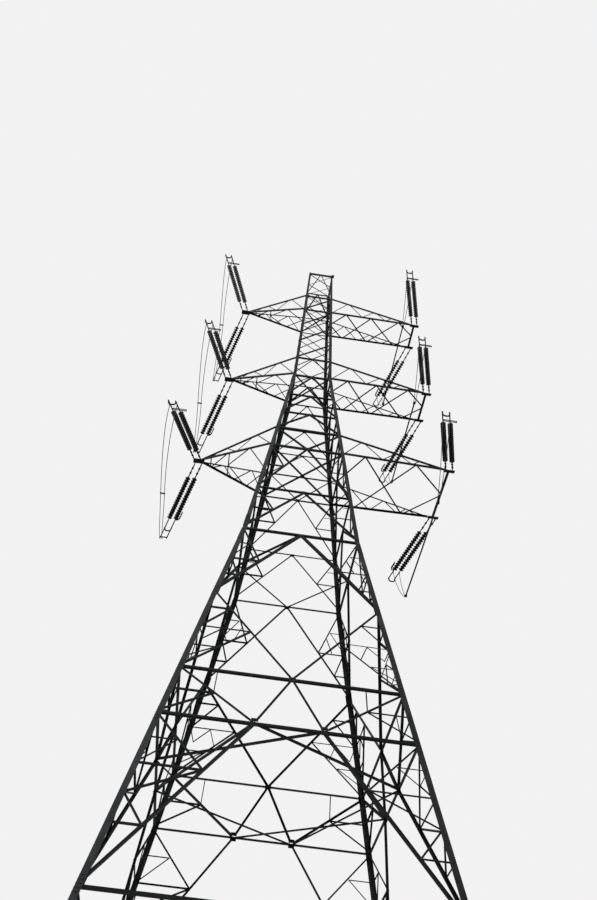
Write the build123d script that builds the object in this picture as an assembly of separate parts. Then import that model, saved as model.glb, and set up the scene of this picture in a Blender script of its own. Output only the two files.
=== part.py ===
"""Lattice transmission pylon with double tension strings, built as a 1:2 scale model.

Millimetres, +Z up. X runs along the cross arms, Y runs along the power line.
The origin is on the tower's axis at ground level, under the foot plates.
Every size below is the model's size: the real tower is twice as large.
"""
import os
from math import cos, hypot, pi, radians, sin, sqrt, tan

from build123d import *

os.makedirs("parts", exist_ok=True)

# The body: height above ground and half width at each bend of the legs.
BENDS = [(0.0, 3060.0), (11251.0, 1088.0), (17058.0, 468.0), (22306.0, 341.0)]

# Heights of the horizontal members, from the ground up.
KNEE = 4370.0          # lowest horizontal of the base
BELT = 6874.0          # horizontal with the large plan frame
COLLAR = 7744.0        # horizontal above it
WAIST = 9465.0         # leg nodes where the diamond is widest, no horizontal
SHOULDER = 11251.0     # first bend of the legs
CHEST = 12502.0
ARM1_LOW = 13993.0     # lower chords of the bottom arms
ARM1_TOP = 14686.0     # where the upper chords of the bottom arms meet the legs
NECK1 = 15345.0
NECK2 = 16132.0
ARM2_LOW = 17058.0     # second bend of the legs, lower chords of the middle arms
ARM2_TOP = 17800.0
CROSS1 = 18594.0
CROSS2 = 19390.0
ARM3_LOW = 20185.0     # lower chords of the top arms
ARM3_TOP = 20950.0
PEAK = 22280.0

# Steel angles: flange width, thickness and, for braces, depth of the inward flange.
LEG_LOWER = (88.0, 8.0)
LEG_MIDDLE = (80.0, 7.0)
LEG_HEAD = (74.0, 6.0)
LEG_PEAK = (58.0, 6.0)
BRACE_BASE = (36.0, 4.0, 46.0)
BRACE_MIDDLE = (28.0, 3.0, 40.0)
BRACE_HEAD = (26.0, 3.0, 32.0)
PLAN_BAR = (32.0, 4.0, 32.0)
CHORD = 45.0           # arm chords, and the body's horizontals at the arms' levels
CHORD_STRIPS = (32.0, 15.0)    # what the front and back lower chords show in an arm's underside
CHORD_DEPTH = 32.0     # inward flange of the arm chords
TOP_CHORD = 34.0       # upper chords of the arms
LACING = (24.0, 4.0, 24.0)
RIGHT_LACING = (34.0, 4.0, 24.0)   # underside of the right arms
END_BAR = 58.0         # outer end of a right arm
PEAK_BAR = 64.0        # horizontals round the top

# Gaps between pieces.
CORNER_GAP = 2.0       # between the braces of two faces at a corner
SEAT_GAP = 0.2         # between a link, wire or frame and the piece that carries it
FLOOR_GAP = 12.0       # from the belt's horizontal to the braces above it, over the plan frame

# Foot plates.
PLATE = 300.0
PLATE_THICK = 20.0
PLATE_SHIFT = 20.0     # the plate's middle lies this far inside the leg's corner
ANCHOR_R = 18.0
ANCHOR_IN = 80.0       # the anchor hole lies this far inside the leg's corner, in X and in Y

# Cross arms. Left: distance of the tip, lower level, level of the upper chord at the legs.
LEFT_ARMS = {
    "bottom_left": (2321.0, ARM1_LOW, ARM1_TOP),
    "middle_left": (2037.0, ARM2_LOW, ARM2_TOP),
    "top_left": (1979.0, ARM3_LOW, ARM3_TOP),
}
# Right: distance of the outer end, its half width, and the same two levels.
RIGHT_ARMS = {
    "bottom_right": (3099.0, 749.0, ARM1_LOW, ARM1_TOP),
    "middle_right": (2839.0, 447.0, ARM2_LOW, ARM2_TOP),
    "top_right": (2687.0, 382.0, ARM3_LOW, ARM3_TOP),
}
# Nodes along the arms, as shares of a chord: zigzags of the sides, then crosses underneath.
LEFT_SIDE_BAYS = (0.0, 0.25, 0.46, 0.64, 0.8, 0.91)
RIGHT_SIDE_BAYS = (0.0, 0.2, 0.36, 0.52, 0.64, 0.74, 0.84)
RIGHT_BAYS = {
    "bottom_right": (0.2, 0.68),
    "middle_right": (0.17, 0.47, 0.8),
    "top_right": (0.17, 0.47, 0.8),
}

# Plates that carry the strings at the ends of the arms.
TIP_PLATE = (228.0, 130.0, 10.0)
TIP_PLATE_IN = 35.0    # from the tip to the plate's middle
TIP_BLOCK = (120.0, 50.0, 34.0)
END_PLATE = (240.0, 78.0, 10.0)
END_PLATE_OUT = 105.0  # how far the plate stands out past the arm's end member

# Tension strings.
TWIN = 146.0           # spacing of the two strings
TURN = 17.0            # the line leaves each side of the arms this many degrees towards -X
DIP = 10.0             # and this many degrees downwards
RIGHT_STRINGS_IN = 24.0    # from the outer end of a right arm to the middle of its strings
LEFT_BACK_IN = 40.0    # the back strings of a left arm hang this far inside its tip
DISC_R = 58.0
DISC_PITCH = 73.0
DISCS = 17
CAP_R = 23.0
PIN_R = 10.0
LINK_R = 9.0
NECK = 60.0            # link from the last disc to the clamp
CLAMP_R = 13.0
# Distances along a string from its plate: first disc, curved spacer, end of the clamp.
FRONT_STRING = (300.0, 1850.0, 1890.0)
BACK_STRING = (419.0, 1930.0, 1970.0)
LONG_STRING = (419.0, 1930.0, 2270.0)
CROSS_AT = 2230.0      # crosspiece between the two long clamps
CROSS_R = 8.0
BOW_SAG = 50.0         # depth of the curved spacer between the two clamps
RING_R = 6.0
RING_REACH = 135.0     # how far a front ring passes the right string
RING_RISE = 40.0
RING_OUT = 95.0        # how far a back ring stands out beside its string
RING_BACK = 160.0      # how far it reaches back along the string

# Jumpers.
WIRE_R = 7.0
LEAD = 40.0            # straight run of a wire under its clamp
WIRE_RUN = 200.0       # length of the other straight runs of the wires
WIRE_AT = 1760.0       # distance along a string at which a front jumper wire starts
BAR_WIRE_AT = 1700.0   # the same for the back strings of the right arms
LOOP_DROPS = {"bottom_left": 1330.0, "middle_left": 1330.0, "top_left": 1100.0}
LOOP_OUT = 507.0       # the lowest point of a loop lies this far outside the arm's tip
LOOP_TWIN = 76.0       # spacing of the two wires there
LOOP_SPACER = (106.0, 30.0, 26.0)
LOOP_SPACER_Y = -200.0
LOOP_POWERS = (2.4, 1.3)   # how square a loop hangs on its front and on its back side
BAR_POWER = 1.2
BAR_DROP = 1720.0      # depth of a rigid bar under its arm
BAR_R = 16.0
BAR_HEAD = (64.0, 70.0, 34.0)
BAR_TWIN = 36.0        # spacing of the two wires at the bar's head
# Rigid bars of the right arms: distance from the tower's axis, front end and back end.
BARS = {
    "bottom_right": (2568.0, -1380.0, 1500.0),
    "middle_right": (2233.0, -1390.0, 1040.0),
    "top_right": (2082.0, -1350.0, 1130.0),
}


def half_width(z):
    """Half width of the square body at a height, between the legs' outer corners."""
    for (z0, w0), (z1, w1) in zip(BENDS, BENDS[1:]):
        if z <= z1:
            return w0 + (w1 - w0) * (z - z0) / (z1 - z0)
    return BENDS[-1][1]


def front_plane(z0, z1):
    """Outer plane of the front face between two bends, its normal pointing outwards."""
    w0 = half_width(z0)
    run = w0 - half_width(z1)
    length = hypot(run, z1 - z0)
    normal = (0, -(z1 - z0) / length, run / length)
    return Plane(origin=(0, -w0, z0), x_dir=(1, 0, 0), z_dir=normal)


def face_point(s, z):
    """Point on the front face: s is -1 at the left leg and 1 at the right leg."""
    w = half_width(z)
    return Vector(s * w, -w, z)


def polygon(points):
    return Face(Wire.make_polygon([Vector(x, y, 0) for x, y in points], close=True))


def strip(plane, p, q, low, high):
    """Straight band from p to q in a plane, between two offsets from the line p to q."""
    a = plane.to_local_coords(Vector(p))
    b = plane.to_local_coords(Vector(q))
    dx = b.X - a.X
    dy = b.Y - a.Y
    length = hypot(dx, dy)
    ux = dx / length
    uy = dy / length
    corners = [(a, low), (b, low), (b, high), (a, high)]
    return polygon([(c.X - uy * off, c.Y + ux * off) for c, off in corners])


def slab(faces, clip, top, bottom):
    """Bands in the local XY plane, united, trimmed and made solid between two depths."""
    sketch = Sketch() + faces
    if clip is not None:
        sketch = sketch & clip
    solid = extrude(sketch, amount=bottom - top, dir=(0, 0, -1))
    return Pos(0, 0, -top) * solid


def lattice(plane, bars, size, depth, clip=None):
    """Flat lattice of steel angles lying inside a plane, fused where they cross.

    A bar is (p, q, low, high, rib): offsets of its band, and 1, -1 or 0 for a
    flange that stands inwards on its high edge, on its low edge, or nowhere.
    """
    thick = size[1]
    flats = []
    ribs = []
    for p, q, low, high, rib in bars:
        flats.append(strip(plane, p, q, low, high))
        if rib > 0:
            ribs.append(strip(plane, p, q, high - thick, high))
        if rib < 0:
            ribs.append(strip(plane, p, q, low, low + thick))
    solid = slab(flats, clip, depth, depth + thick)
    if ribs:
        solid = solid + slab(ribs, clip, depth, depth + size[2])
    return plane.location * solid


def angle(p, q, size, rib=1):
    """Bar centred on the line from p to q."""
    return (p, q, -size[0] / 2, size[0] / 2, rib)


def edge_bar(plane, p, q, inner, width, rib):
    """Bar whose outer edge is the line from p to q and whose band lies towards inner.

    Its flange stands on the inner edge for a rib of 1, on the outer edge for -1.
    """
    a = plane.to_local_coords(Vector(p))
    b = plane.to_local_coords(Vector(q))
    c = plane.to_local_coords(Vector(inner))
    turn = (b.X - a.X) * (c.Y - a.Y) - (b.Y - a.Y) * (c.X - a.X)
    if turn > 0:
        return (p, q, 0, width, rib)
    return (p, q, -width, 0, -rib)


def trapezoid(plane, z0, z1, margin):
    """The part of the front face that braces may fill, between the legs' corners."""
    low = plane.to_local_coords(face_point(1, z0))
    high = plane.to_local_coords(face_point(1, z1))
    xl = low.X - margin
    xh = high.X - margin
    return polygon([(-xl, low.Y), (xl, low.Y), (xh, high.Y), (-xh, high.Y)])


def strut(z, size):
    """Horizontal from leg to leg, centred on a height, its inward flange below."""
    return angle(face_point(-1, z), face_point(1, z), size, -1)


def gusset(plane, s, z, reach, rise):
    """Plate that ties braces together: at a leg for s of -1 or 1, else inside the face."""
    if abs(s) < 1:
        p = plane.to_local_coords(face_point(s, z))
        return polygon([(p.X - reach, p.Y - rise), (p.X + reach, p.Y - rise),
                        (p.X + reach, p.Y + rise), (p.X - reach, p.Y + rise)])
    low = plane.to_local_coords(face_point(s, z - rise))
    high = plane.to_local_coords(face_point(s, z + rise))
    return polygon([(low.X, low.Y), (low.X - s * reach, low.Y),
                    (high.X - s * reach, high.Y), (high.X, high.Y)])


def flat_side(plane, struts, panels, plates, size, depth, margin, ends):
    """One flat side: horizontals, the braces of each panel between them, and gussets."""
    whole = trapezoid(plane, ends[0], ends[1], margin)
    solid = lattice(plane, struts, size, depth, whole)
    for low, high, bars in panels:
        solid = solid + lattice(plane, bars, size, depth, trapezoid(plane, low, high, margin))
    flat = slab(plates, whole, depth, depth + size[1])
    return solid + plane.location * flat


def turned(shape, side):
    """Carries a front-face shape to side 0 front, 1 right, 2 back or 3 left."""
    return Rot(0, 0, 90 * side) * shape


def leg_section(z0, z1, size):
    """Angle leg of the front left corner between two heights of one straight run."""
    width, thick = size
    plane = front_plane(z0, z1)
    start = plane.to_local_coords(face_point(-1, z0))
    end = plane.to_local_coords(face_point(-1, z1))
    outline = polygon([(start.X, start.Y), (start.X + width, start.Y),
                       (end.X + width, end.Y), (end.X, end.Y)])
    flange = plane.location * extrude(outline, amount=thick, dir=(0, 0, -1))
    other = mirror(flange, about=Plane(origin=(0, 0, 0), z_dir=(1, -1, 0)))
    return flange + other


def foot_plate():
    """Foot plate of the front left leg with its anchor hole."""
    w = half_width(0)
    centre = -w + PLATE_SHIFT
    plate = Pos(centre, centre, PLATE_THICK / 2) * Box(PLATE, PLATE, PLATE_THICK)
    hole = -w + ANCHOR_IN
    return plate - Pos(hole, hole, PLATE_THICK / 2) * Cylinder(ANCHOR_R, PLATE_THICK * 2)


def lower_leg():
    leg = leg_section(0, SHOULDER, LEG_LOWER)
    room = Pos(0, 0, PEAK / 2) * Box(PEAK, PEAK, PEAK)
    return (leg & room) + foot_plate()


def base_bracing():
    """Front face from the ground to the belt: two tall panels with a horizontal between."""
    plane = front_plane(0, SHOULDER)
    size = BRACE_BASE
    half = size[0] / 2
    lower = []
    upper = []
    plates = [gusset(plane, 0, KNEE - 30, 60, 34)]
    for s in (-1, 1):
        lower.append(angle(face_point(s, 120), face_point(0, KNEE), size, s))
        upper.append(angle(face_point(s, KNEE), face_point(0.266 * s, BELT), size, s))
        plates.append(gusset(plane, s, KNEE + 50, 100, 70))
        plates.append(gusset(plane, 0.266 * s, BELT - 25, 52, 30))
    panels = [(60, KNEE - half, lower), (KNEE + half, BELT - half, upper)]
    margin = LEG_LOWER[1] + size[2] + CORNER_GAP
    struts = [strut(KNEE, size), strut(BELT, size)]
    return flat_side(plane, struts, panels, plates, size, LEG_LOWER[1], margin, (60, BELT + half))


def waist_bracing(edge):
    """Front face from the belt to the shoulder: short V panels below, a large diamond above.

    The short braces' inward flanges stand on their lower edges for an edge of 1, else on the upper.
    """
    plane = front_plane(0, SHOULDER)
    size = BRACE_BASE
    half = size[0] / 2
    crown = SHOULDER - half - 4
    floor = BELT + half + FLOOR_GAP
    short = []
    tall = []
    plates = [gusset(plane, 0, COLLAR, 52, 36), gusset(plane, 0, crown - 24, 50, 30)]
    for s in (-1, 1):
        short.append(angle(face_point(0.266 * s, BELT), face_point(0, COLLAR), size, s * edge))
        short.append(angle(face_point(0.266 * s, BELT), face_point(s, COLLAR), size, -s * edge))
        tall.append(angle(face_point(0, COLLAR), face_point(s, WAIST), size, s))
        tall.append(angle(face_point(s, WAIST), face_point(0, crown), size, s))
        plates.append(gusset(plane, s, COLLAR - 25, 100, 50))
        plates.append(gusset(plane, s, WAIST, 105, 100))
        plates.append(gusset(plane, 0.266 * s, BELT + 52, 50, 32))
    panels = [(floor, COLLAR - half, short), (COLLAR + half, crown - half, tall)]
    margin = LEG_LOWER[1] + size[2] + CORNER_GAP
    struts = [strut(COLLAR, size), strut(crown, size)]
    return flat_side(plane, struts, panels, plates, size, LEG_LOWER[1], margin,
                     (floor, SHOULDER - 3))


def middle_face():
    """Front face from the shoulder to the middle arms: panels between horizontals."""
    plane = front_plane(SHOULDER, ARM2_LOW)
    size = BRACE_MIDDLE
    crown = ARM2_LOW - CHORD / 2 - 2
    knots = [
        (-1, SHOULDER + 25, 0, CHEST),
        (-1, CHEST, 0, ARM1_LOW),
        (0, ARM1_LOW, -1, ARM1_TOP),
        (-1, ARM1_TOP, 0, NECK1),
        (-1, NECK1, 0, NECK2),
        (-1, NECK2, 0, crown),
    ]
    panels = []
    plates = []
    for a, low, b, high in knots:
        bars = []
        for s in (-1, 1):
            bars.append(angle(face_point(a * s, low), face_point(b * s, high), size, -s if a else s))
            plates.append(gusset(plane, s, low + 50 if a else high - 30, 84, 64 if a else 45))
        plates.append(gusset(plane, 0, high - 10 if a else low + 10, 44, 32))
        floor = low + size[0] / 2 if low != SHOULDER + 25 else SHOULDER + 2
        panels.append((floor, high - size[0] / 2, bars))
    struts = [strut(z, size) for z in (CHEST, NECK1, NECK2)]
    struts += [strut(z, (CHORD, size[1])) for z in (ARM1_LOW, ARM1_TOP, crown)]
    margin = LEG_MIDDLE[1] + size[2] + CORNER_GAP
    return flat_side(plane, struts, panels, plates, size, LEG_MIDDLE[1], margin,
                     (SHOULDER + 2, ARM2_LOW - 2))


def plan_cross(z, size, inset):
    """Flat cross between the corners of the body at one height, its flanges upwards."""
    w = half_width(z + size[2]) - inset
    plane = Plane(origin=(0, 0, z), x_dir=(1, 0, 0), z_dir=(0, 0, -1))
    bars = [
        angle(Vector(-w, -w, z), Vector(w, w, z), size, 1),
        angle(Vector(-w, w, z), Vector(w, -w, z), size, 1),
    ]
    clip = polygon([(-w, -w), (w, -w), (w, w), (-w, w)])
    return lattice(plane, bars, size, 0, clip)


def middle_bracing():
    """The four faces from the shoulder to the middle arms, tied by a plan cross."""
    front = middle_face()
    solid = plan_cross(ARM1_LOW - CHORD / 2 - 2, BRACE_MIDDLE, LEG_MIDDLE[1] + SEAT_GAP)
    for side in range(4):
        solid = solid + turned(front, side)
    return solid


def head_face(lean):
    """Front face above the middle arms: a K panel, three crosses, another and the top.

    In each cross, the bar with the inward flange rises to the right for a lean of 1.
    """
    size = BRACE_HEAD
    half = CHORD / 2
    depth = LEG_HEAD[1]
    margin = depth + size[2] + CORNER_GAP
    plane = front_plane(ARM2_LOW, ARM3_TOP)
    plates = [gusset(plane, 0, ARM2_TOP - 16, 42, 30)]
    kay = []
    for s in (-1, 1):
        kay.append(angle(face_point(s, ARM2_LOW + 20), face_point(0, ARM2_TOP), size, -s))
        for z in (ARM2_TOP, ARM3_LOW, ARM3_TOP - 20):
            plates.append(gusset(plane, s, z, 70, 48))
    panels = [(ARM2_LOW + 4, ARM2_TOP - half, kay)]
    levels = (ARM2_TOP + half, CROSS1, CROSS2, ARM3_LOW - half)
    crossed = []
    for low, high in zip(levels, levels[1:]):
        crossed.append(angle(face_point(-lean, low), face_point(lean, high), size, -lean))
        crossed.append(angle(face_point(lean, low), face_point(-lean, high), size, 0))
    panels.append((levels[0], levels[-1], crossed))
    low = ARM3_LOW + half
    high = ARM3_TOP - half - 2
    last = [angle(face_point(-lean, low), face_point(lean, high - half), size, -lean),
            angle(face_point(lean, low), face_point(-lean, high - half), size, 0)]
    panels.append((low, high - half, last))
    struts = [strut(z, (CHORD, size[1])) for z in (ARM2_TOP, ARM3_LOW, high)]
    body = flat_side(plane, struts, panels, plates, size, depth, margin,
                     (ARM2_LOW + 4, ARM3_TOP - 2))
    cap = front_plane(ARM3_TOP, PEAK)
    crown = PEAK - PEAK_BAR / 2
    kay = []
    for s in (-1, 1):
        kay.append(angle(face_point(s, ARM3_TOP + 20), face_point(0, crown), size, -s))
    plates = [gusset(cap, 0, crown - 24, 42, 34)]
    struts = [strut(crown, (PEAK_BAR, size[1]))]
    top = flat_side(cap, struts, [(ARM3_TOP + 4, crown - PEAK_BAR / 2, kay)], plates, size,
                    depth, margin, (ARM3_TOP + 4, PEAK))
    return body + top


def tower_head():
    """Legs, faces and plan crosses above the middle arms, in one piece."""
    leg = leg_section(ARM2_LOW, ARM3_TOP, LEG_HEAD) + leg_section(ARM3_TOP, PEAK, LEG_PEAK)
    solid = plan_cross(ARM2_LOW + 4, BRACE_HEAD, LEG_HEAD[1] - 2)
    solid = solid + plan_cross(ARM3_LOW - CHORD / 2 - 2, BRACE_HEAD, LEG_HEAD[1] - 2)
    for side, lean in enumerate((1, 1, -1, -1)):
        solid = solid + turned(head_face(lean) + leg, side)
    return solid


def frame_on(z, size, leg_size, slope):
    """Height and half width of a plan frame that lies on the horizontals' inward flanges."""
    run = sqrt(1 + slope * slope)
    inner = leg_size[1] + size[1] + SEAT_GAP
    edge = inner + PLAN_BAR[0] * slope
    bottom = z - (size[0] / 2 - size[1]) / run - edge * slope / run + SEAT_GAP
    return bottom, half_width(bottom + PLAN_BAR[0]) - inner * run


def belt_frame():
    """Plan frame at the belt: each face's two nodes are tied to those of its neighbours."""
    slope = (BENDS[0][1] - BENDS[1][1]) / SHOULDER
    z, w = frame_on(BELT, BRACE_BASE, LEG_LOWER, slope)
    near = 0.266 * half_width(BELT)
    plane = Plane(origin=(0, 0, z), x_dir=(1, 0, 0), z_dir=(0, 0, -1))
    bars = []
    for side in range(4):
        a = Vector(-near, -w, z).rotate(Axis.Z, 90 * side)
        b = Vector(near, -w, z).rotate(Axis.Z, 90 * side)
        c = Vector(w, -near, z).rotate(Axis.Z, 90 * side)
        d = Vector(w, near, z).rotate(Axis.Z, 90 * side)
        bars.append(angle(a, c, PLAN_BAR, 1))
        bars.append(angle(b, d, PLAN_BAR, 1))
    clip = polygon([(-w, -w), (w, -w), (w, w), (-w, w)])
    return lattice(plane, bars, PLAN_BAR, 0, clip)


def shoulder_frame():
    """Plan frame at the shoulder: a diamond between the middles of the four faces."""
    slope = (BENDS[0][1] - BENDS[1][1]) / SHOULDER
    z, w = frame_on(SHOULDER - BRACE_BASE[0] / 2 - 4, BRACE_BASE, LEG_LOWER, slope)
    plane = Plane(origin=(0, 0, z), x_dir=(1, 0, 0), z_dir=(0, 0, -1))
    bars = []
    for side in range(4):
        a = Vector(0, -w, z).rotate(Axis.Z, 90 * side)
        b = Vector(w, 0, z).rotate(Axis.Z, 90 * side)
        bars.append(angle(a, b, PLAN_BAR, 1))
    clip = polygon([(-w, -w), (w, -w), (w, w), (-w, w)])
    return lattice(plane, bars, PLAN_BAR, 0, clip)


def between(p, q, t):
    return Vector(p) + (Vector(q) - Vector(p)) * t


def arm_side(low_in, low_out, top_in, top_out, bays, outward):
    """Inclined side of an arm: the flanges of both chords and the lacing between them."""
    across = Vector(low_out) - Vector(low_in)
    rise = Vector(top_in) - Vector(low_in)
    normal = across.cross(rise).normalized()
    if normal.dot(Vector(outward)) < 0:
        normal = normal * -1
    plane = Plane(origin=low_in, x_dir=across.normalized(), z_dir=normal)
    centre = (Vector(low_in) + Vector(low_out) + Vector(top_in)) * (1 / 3)
    bars = [edge_bar(plane, low_in, low_out, centre, CHORD, 1),
            edge_bar(plane, top_in, top_out, centre, TOP_CHORD, 1)]
    flip = False
    for a, b in zip(bays, bays[1:]):
        if flip:
            p = between(top_in, top_out, a)
            q = between(low_in, low_out, b)
        else:
            p = between(low_in, low_out, a)
            q = between(top_in, top_out, b)
        bars.append(angle(p, q, LACING, 0))
        flip = not flip
    outline = [plane.to_local_coords(Vector(p)) for p in (low_in, low_out, top_out, top_in)]
    points = []
    for c in outline:
        if not points or hypot(c.X - points[-1][0], c.Y - points[-1][1]) > 1:
            points.append((c.X, c.Y))
    return lattice(plane, bars, (CHORD, LACING[1], CHORD_DEPTH), 0, polygon(points))


def arm_bottom(z, points, bars):
    """Level underside of an arm, its flanges lying over it."""
    plane = Plane(origin=(0, 0, z), x_dir=(1, 0, 0), z_dir=(0, 0, -1))
    local = [plane.to_local_coords(Vector(p)) for p in points]
    return lattice(plane, bars(plane), LACING, 0, polygon([(c.X, c.Y) for c in local]))


def left_arm(name):
    """Pointed arm on the left, from the legs to its tip."""
    tip_x, low, top = LEFT_ARMS[name]
    w0 = half_width(low)
    w1 = half_width(top)
    tip = Vector(-tip_x, 0, low)
    front = Vector(-w0, -w0, low)
    back = Vector(-w0, w0, low)
    high_front = Vector(-w1, -w1, top)
    high_back = Vector(-w1, w1, top)
    middle = (front + back + tip) * (1 / 3)

    def bars(plane):
        root = between(front, back, 0.5)
        rung = between(root, tip, 0.55)
        made = []
        for corner, width in zip((front, back), CHORD_STRIPS):
            knot = between(corner, tip, 0.27)
            made.append(edge_bar(plane, corner, tip, middle, width, 0))
            made.append(angle(root, knot, LACING, 0))
            made.append(angle(knot, rung, LACING, 0))
        for t in (0.55, 0.8, 0.9):
            made.append(angle(between(front, tip, t), between(back, tip, t), LACING, 0))
        made.append(angle(between(back, tip, 0.8), between(front, tip, 0.57), LACING, 0))
        return made

    solid = arm_bottom(low, (front, back, tip), bars)
    solid = solid + arm_side(front, tip, high_front, tip, LEFT_SIDE_BAYS, (0, -1, 0))
    solid = solid + arm_side(back, tip, high_back, tip, LEFT_SIDE_BAYS, (0, 1, 0))
    solid = solid + Pos(-tip_x + TIP_PLATE_IN, 0, low - TIP_PLATE[2] / 2) * Box(*TIP_PLATE)
    solid = solid + Pos(-tip_x + TIP_BLOCK[0] / 2, 0, low + TIP_BLOCK[2] / 2 - 1) * Box(*TIP_BLOCK)
    return solid


def right_arm(name):
    """Arm on the right with a square outer end as wide as the body."""
    reach, out, low, top = RIGHT_ARMS[name]
    w0 = half_width(low)
    w1 = half_width(top)
    corners = {s: Vector(reach, s * out, low) for s in (-1, 1)}
    roots = {s: Vector(w0, s * w0, low) for s in (-1, 1)}
    highs = {s: Vector(w1, s * w1, top) for s in (-1, 1)}
    middle = (corners[-1] + corners[1] + roots[-1] + roots[1]) * 0.25

    bays = RIGHT_BAYS[name]

    def bars(plane):
        made = [edge_bar(plane, corners[-1], corners[1], middle, END_BAR, -1)]
        root = between(roots[-1], roots[1], 0.5)
        outer = between(corners[-1], corners[1], 0.5)
        for s, width in zip((-1, 1), CHORD_STRIPS):
            made.append(edge_bar(plane, roots[s], corners[s], middle, width, 0))
            made.append(angle(root, between(roots[s], corners[s], bays[0]), RIGHT_LACING, 0))
            made.append(angle(between(roots[s], corners[s], bays[-1]), outer, RIGHT_LACING, 0))
            for a, b in zip(bays, bays[1:]):
                p = between(roots[s], corners[s], a)
                q = between(roots[-s], corners[-s], b)
                made.append(angle(p, q, RIGHT_LACING, 0))
        return made

    solid = arm_bottom(low, (roots[-1], corners[-1], corners[1], roots[1]), bars)
    for s in (-1, 1):
        solid = solid + arm_side(roots[s], corners[s], highs[s], corners[s], RIGHT_SIDE_BAYS,
                                 (0, s, 0))
        x = reach - END_PLATE[0] / 2 + END_PLATE_OUT
        y = s * (out - END_PLATE[1] / 2 + 12)
        solid = solid + Pos(x, y, low - END_PLATE[2] / 2) * Box(*END_PLATE)
    return solid


def trimmed(arm, side, low, top):
    """Cuts an arm at the outer plane of the legs that carry it."""
    if low == ARM1_LOW:
        plane = front_plane(SHOULDER, ARM2_LOW)
    else:
        plane = front_plane(ARM2_LOW, ARM3_TOP)
    block = plane.location * (Pos(0, low - plane.origin.Z, -2000) * Box(9000, 6000, 4000))
    return arm - turned(block, side)


def line_direction(s):
    """Direction of the strings on the front side for s of -1, on the back side for 1."""
    turn = radians(TURN)
    dip = radians(DIP)
    return Vector(-sin(turn) * cos(dip), s * cos(turn) * cos(dip), -sin(dip))


def string_start(x, y, z, s):
    """Where a link starts so that its end clears the edge of the plate at y."""
    d = line_direction(s)
    off = (LINK_R * sqrt(1 - d.Y * d.Y) + SEAT_GAP) / abs(d.Y)
    return Vector(x, y, z) + d * off


def one_string(start, direction, link, end):
    """Link, discs and clamp as one turned body."""
    points = [(0, 0), (LINK_R, 0), (LINK_R, link)]
    z = link
    for _ in range(DISCS):
        points += [(CAP_R, z), (CAP_R, z + 22), (DISC_R, z + 33), (DISC_R, z + 39),
                   (PIN_R, z + 46), (PIN_R, z + DISC_PITCH)]
        z += DISC_PITCH
    points += [(LINK_R, z), (LINK_R, z + NECK), (CLAMP_R, z + NECK), (CLAMP_R, end), (0, end)]
    wire = Wire.make_polygon([Vector(r, 0, h) for r, h in points], close=True)
    solid = revolve(Face(wire), axis=Axis.Z)
    return Plane(origin=start, z_dir=direction).location * solid


def rod(p, q, radius):
    direction = Vector(q) - Vector(p)
    solid = Pos(0, 0, direction.length / 2) * Cylinder(radius, direction.length)
    return Plane(origin=p, z_dir=direction.normalized()).location * solid


def tube(path, radius):
    start = Plane(origin=path @ 0, z_dir=path % 0)
    return sweep(start * Circle(radius), path=path)


def drop_curve(top, goal, power):
    """Route that leaves top straight down and reaches goal level, as evenly spaced points."""
    under = top - Vector(0, 0, LEAD)
    fine = []
    for i in range(401):
        turn = radians(90 * i / 400)
        x = goal.X + (under.X - goal.X) * cos(turn) ** 2
        y = goal.Y + (under.Y - goal.Y) * cos(turn) ** (2 / power)
        z = under.Z + (goal.Z - under.Z) * sin(turn) ** (2 / power)
        fine.append(Vector(x, y, z))
    total = sum((q - p).length for p, q in zip(fine, fine[1:]))
    runs = round(total / WIRE_RUN)
    points = [top, fine[0]]
    gone = 0.0
    for p, q in zip(fine, fine[1:]):
        gone += (q - p).length
        if gone >= total * (len(points) - 1) / runs and len(points) < runs + 1:
            points.append(q)
    return points + [fine[-1]]


def wire(points, name):
    """Round wire along straight runs joined by tangent arcs, as large as the runs allow."""
    radii = []
    for a, b, c in zip(points, points[1:], points[2:]):
        turn = radians((b - a).get_angle(c - b))
        shorter = min((b - a).length, (c - b).length)
        radii.append(0.45 * shorter / tan(turn / 2))
    path = FilletPolyline(*points, radius=radii)
    solid = tube(path, WIRE_R)
    ideal = pi * WIRE_R * WIRE_R * path.length
    print(name, "wire", round(path.length), "mm, smallest radius", round(min(radii)), "mm, volume",
          round(solid.volume / ideal, 4), "of section times length")
    return solid


def closed_ring(points, rise):
    """Flat ring of round rods: a route, the same route a little higher, and both ends."""
    up = Vector(0, 0, rise)
    solid = rod(points[0], points[0] + up, RING_R) + rod(points[-1], points[-1] + up, RING_R)
    for p, q in zip(points, points[1:]):
        solid = solid + rod(p, q, RING_R) + rod(p + up, q + up, RING_R)
    return solid


def string_set(x, y, z, s, lengths, ring_side=0):
    """Two parallel strings, the curved spacer between their clamps, and an arcing ring.

    The ring crosses both strings for a side of 0, else it stands beside the string
    on that side of X.
    """
    link, bow, end = lengths
    d = line_direction(s)
    starts = [string_start(x - TWIN / 2, y, z, s), string_start(x + TWIN / 2, y, z, s)]
    solid = one_string(starts[0], d, link, end) + one_string(starts[1], d, link, end)
    a = starts[0] + d * bow
    b = starts[1] + d * bow
    path = ThreePointArc(a, (a + b) * 0.5 - Vector(0, 0, BOW_SAG), b)
    solid = solid + tube(path, RING_R)
    last = link + DISCS * DISC_PITCH
    if end > CROSS_AT:
        solid = solid + rod(starts[0] + d * CROSS_AT, starts[1] + d * CROSS_AT, CROSS_R)
    if ring_side == 0:
        root = starts[0] + d * (last + NECK)
        reach = starts[1] + d * (last + NECK) + Vector(RING_REACH, 0, 0)
        return solid + closed_ring([root, reach], RING_RISE)
    root = starts[1 if ring_side > 0 else 0] + d * (last + NECK / 2)
    knee = root + Vector(ring_side * RING_OUT, 0, 0) - d * (NECK / 2)
    return solid + closed_ring([root, knee, knee - d * RING_BACK], RING_RISE)


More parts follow.
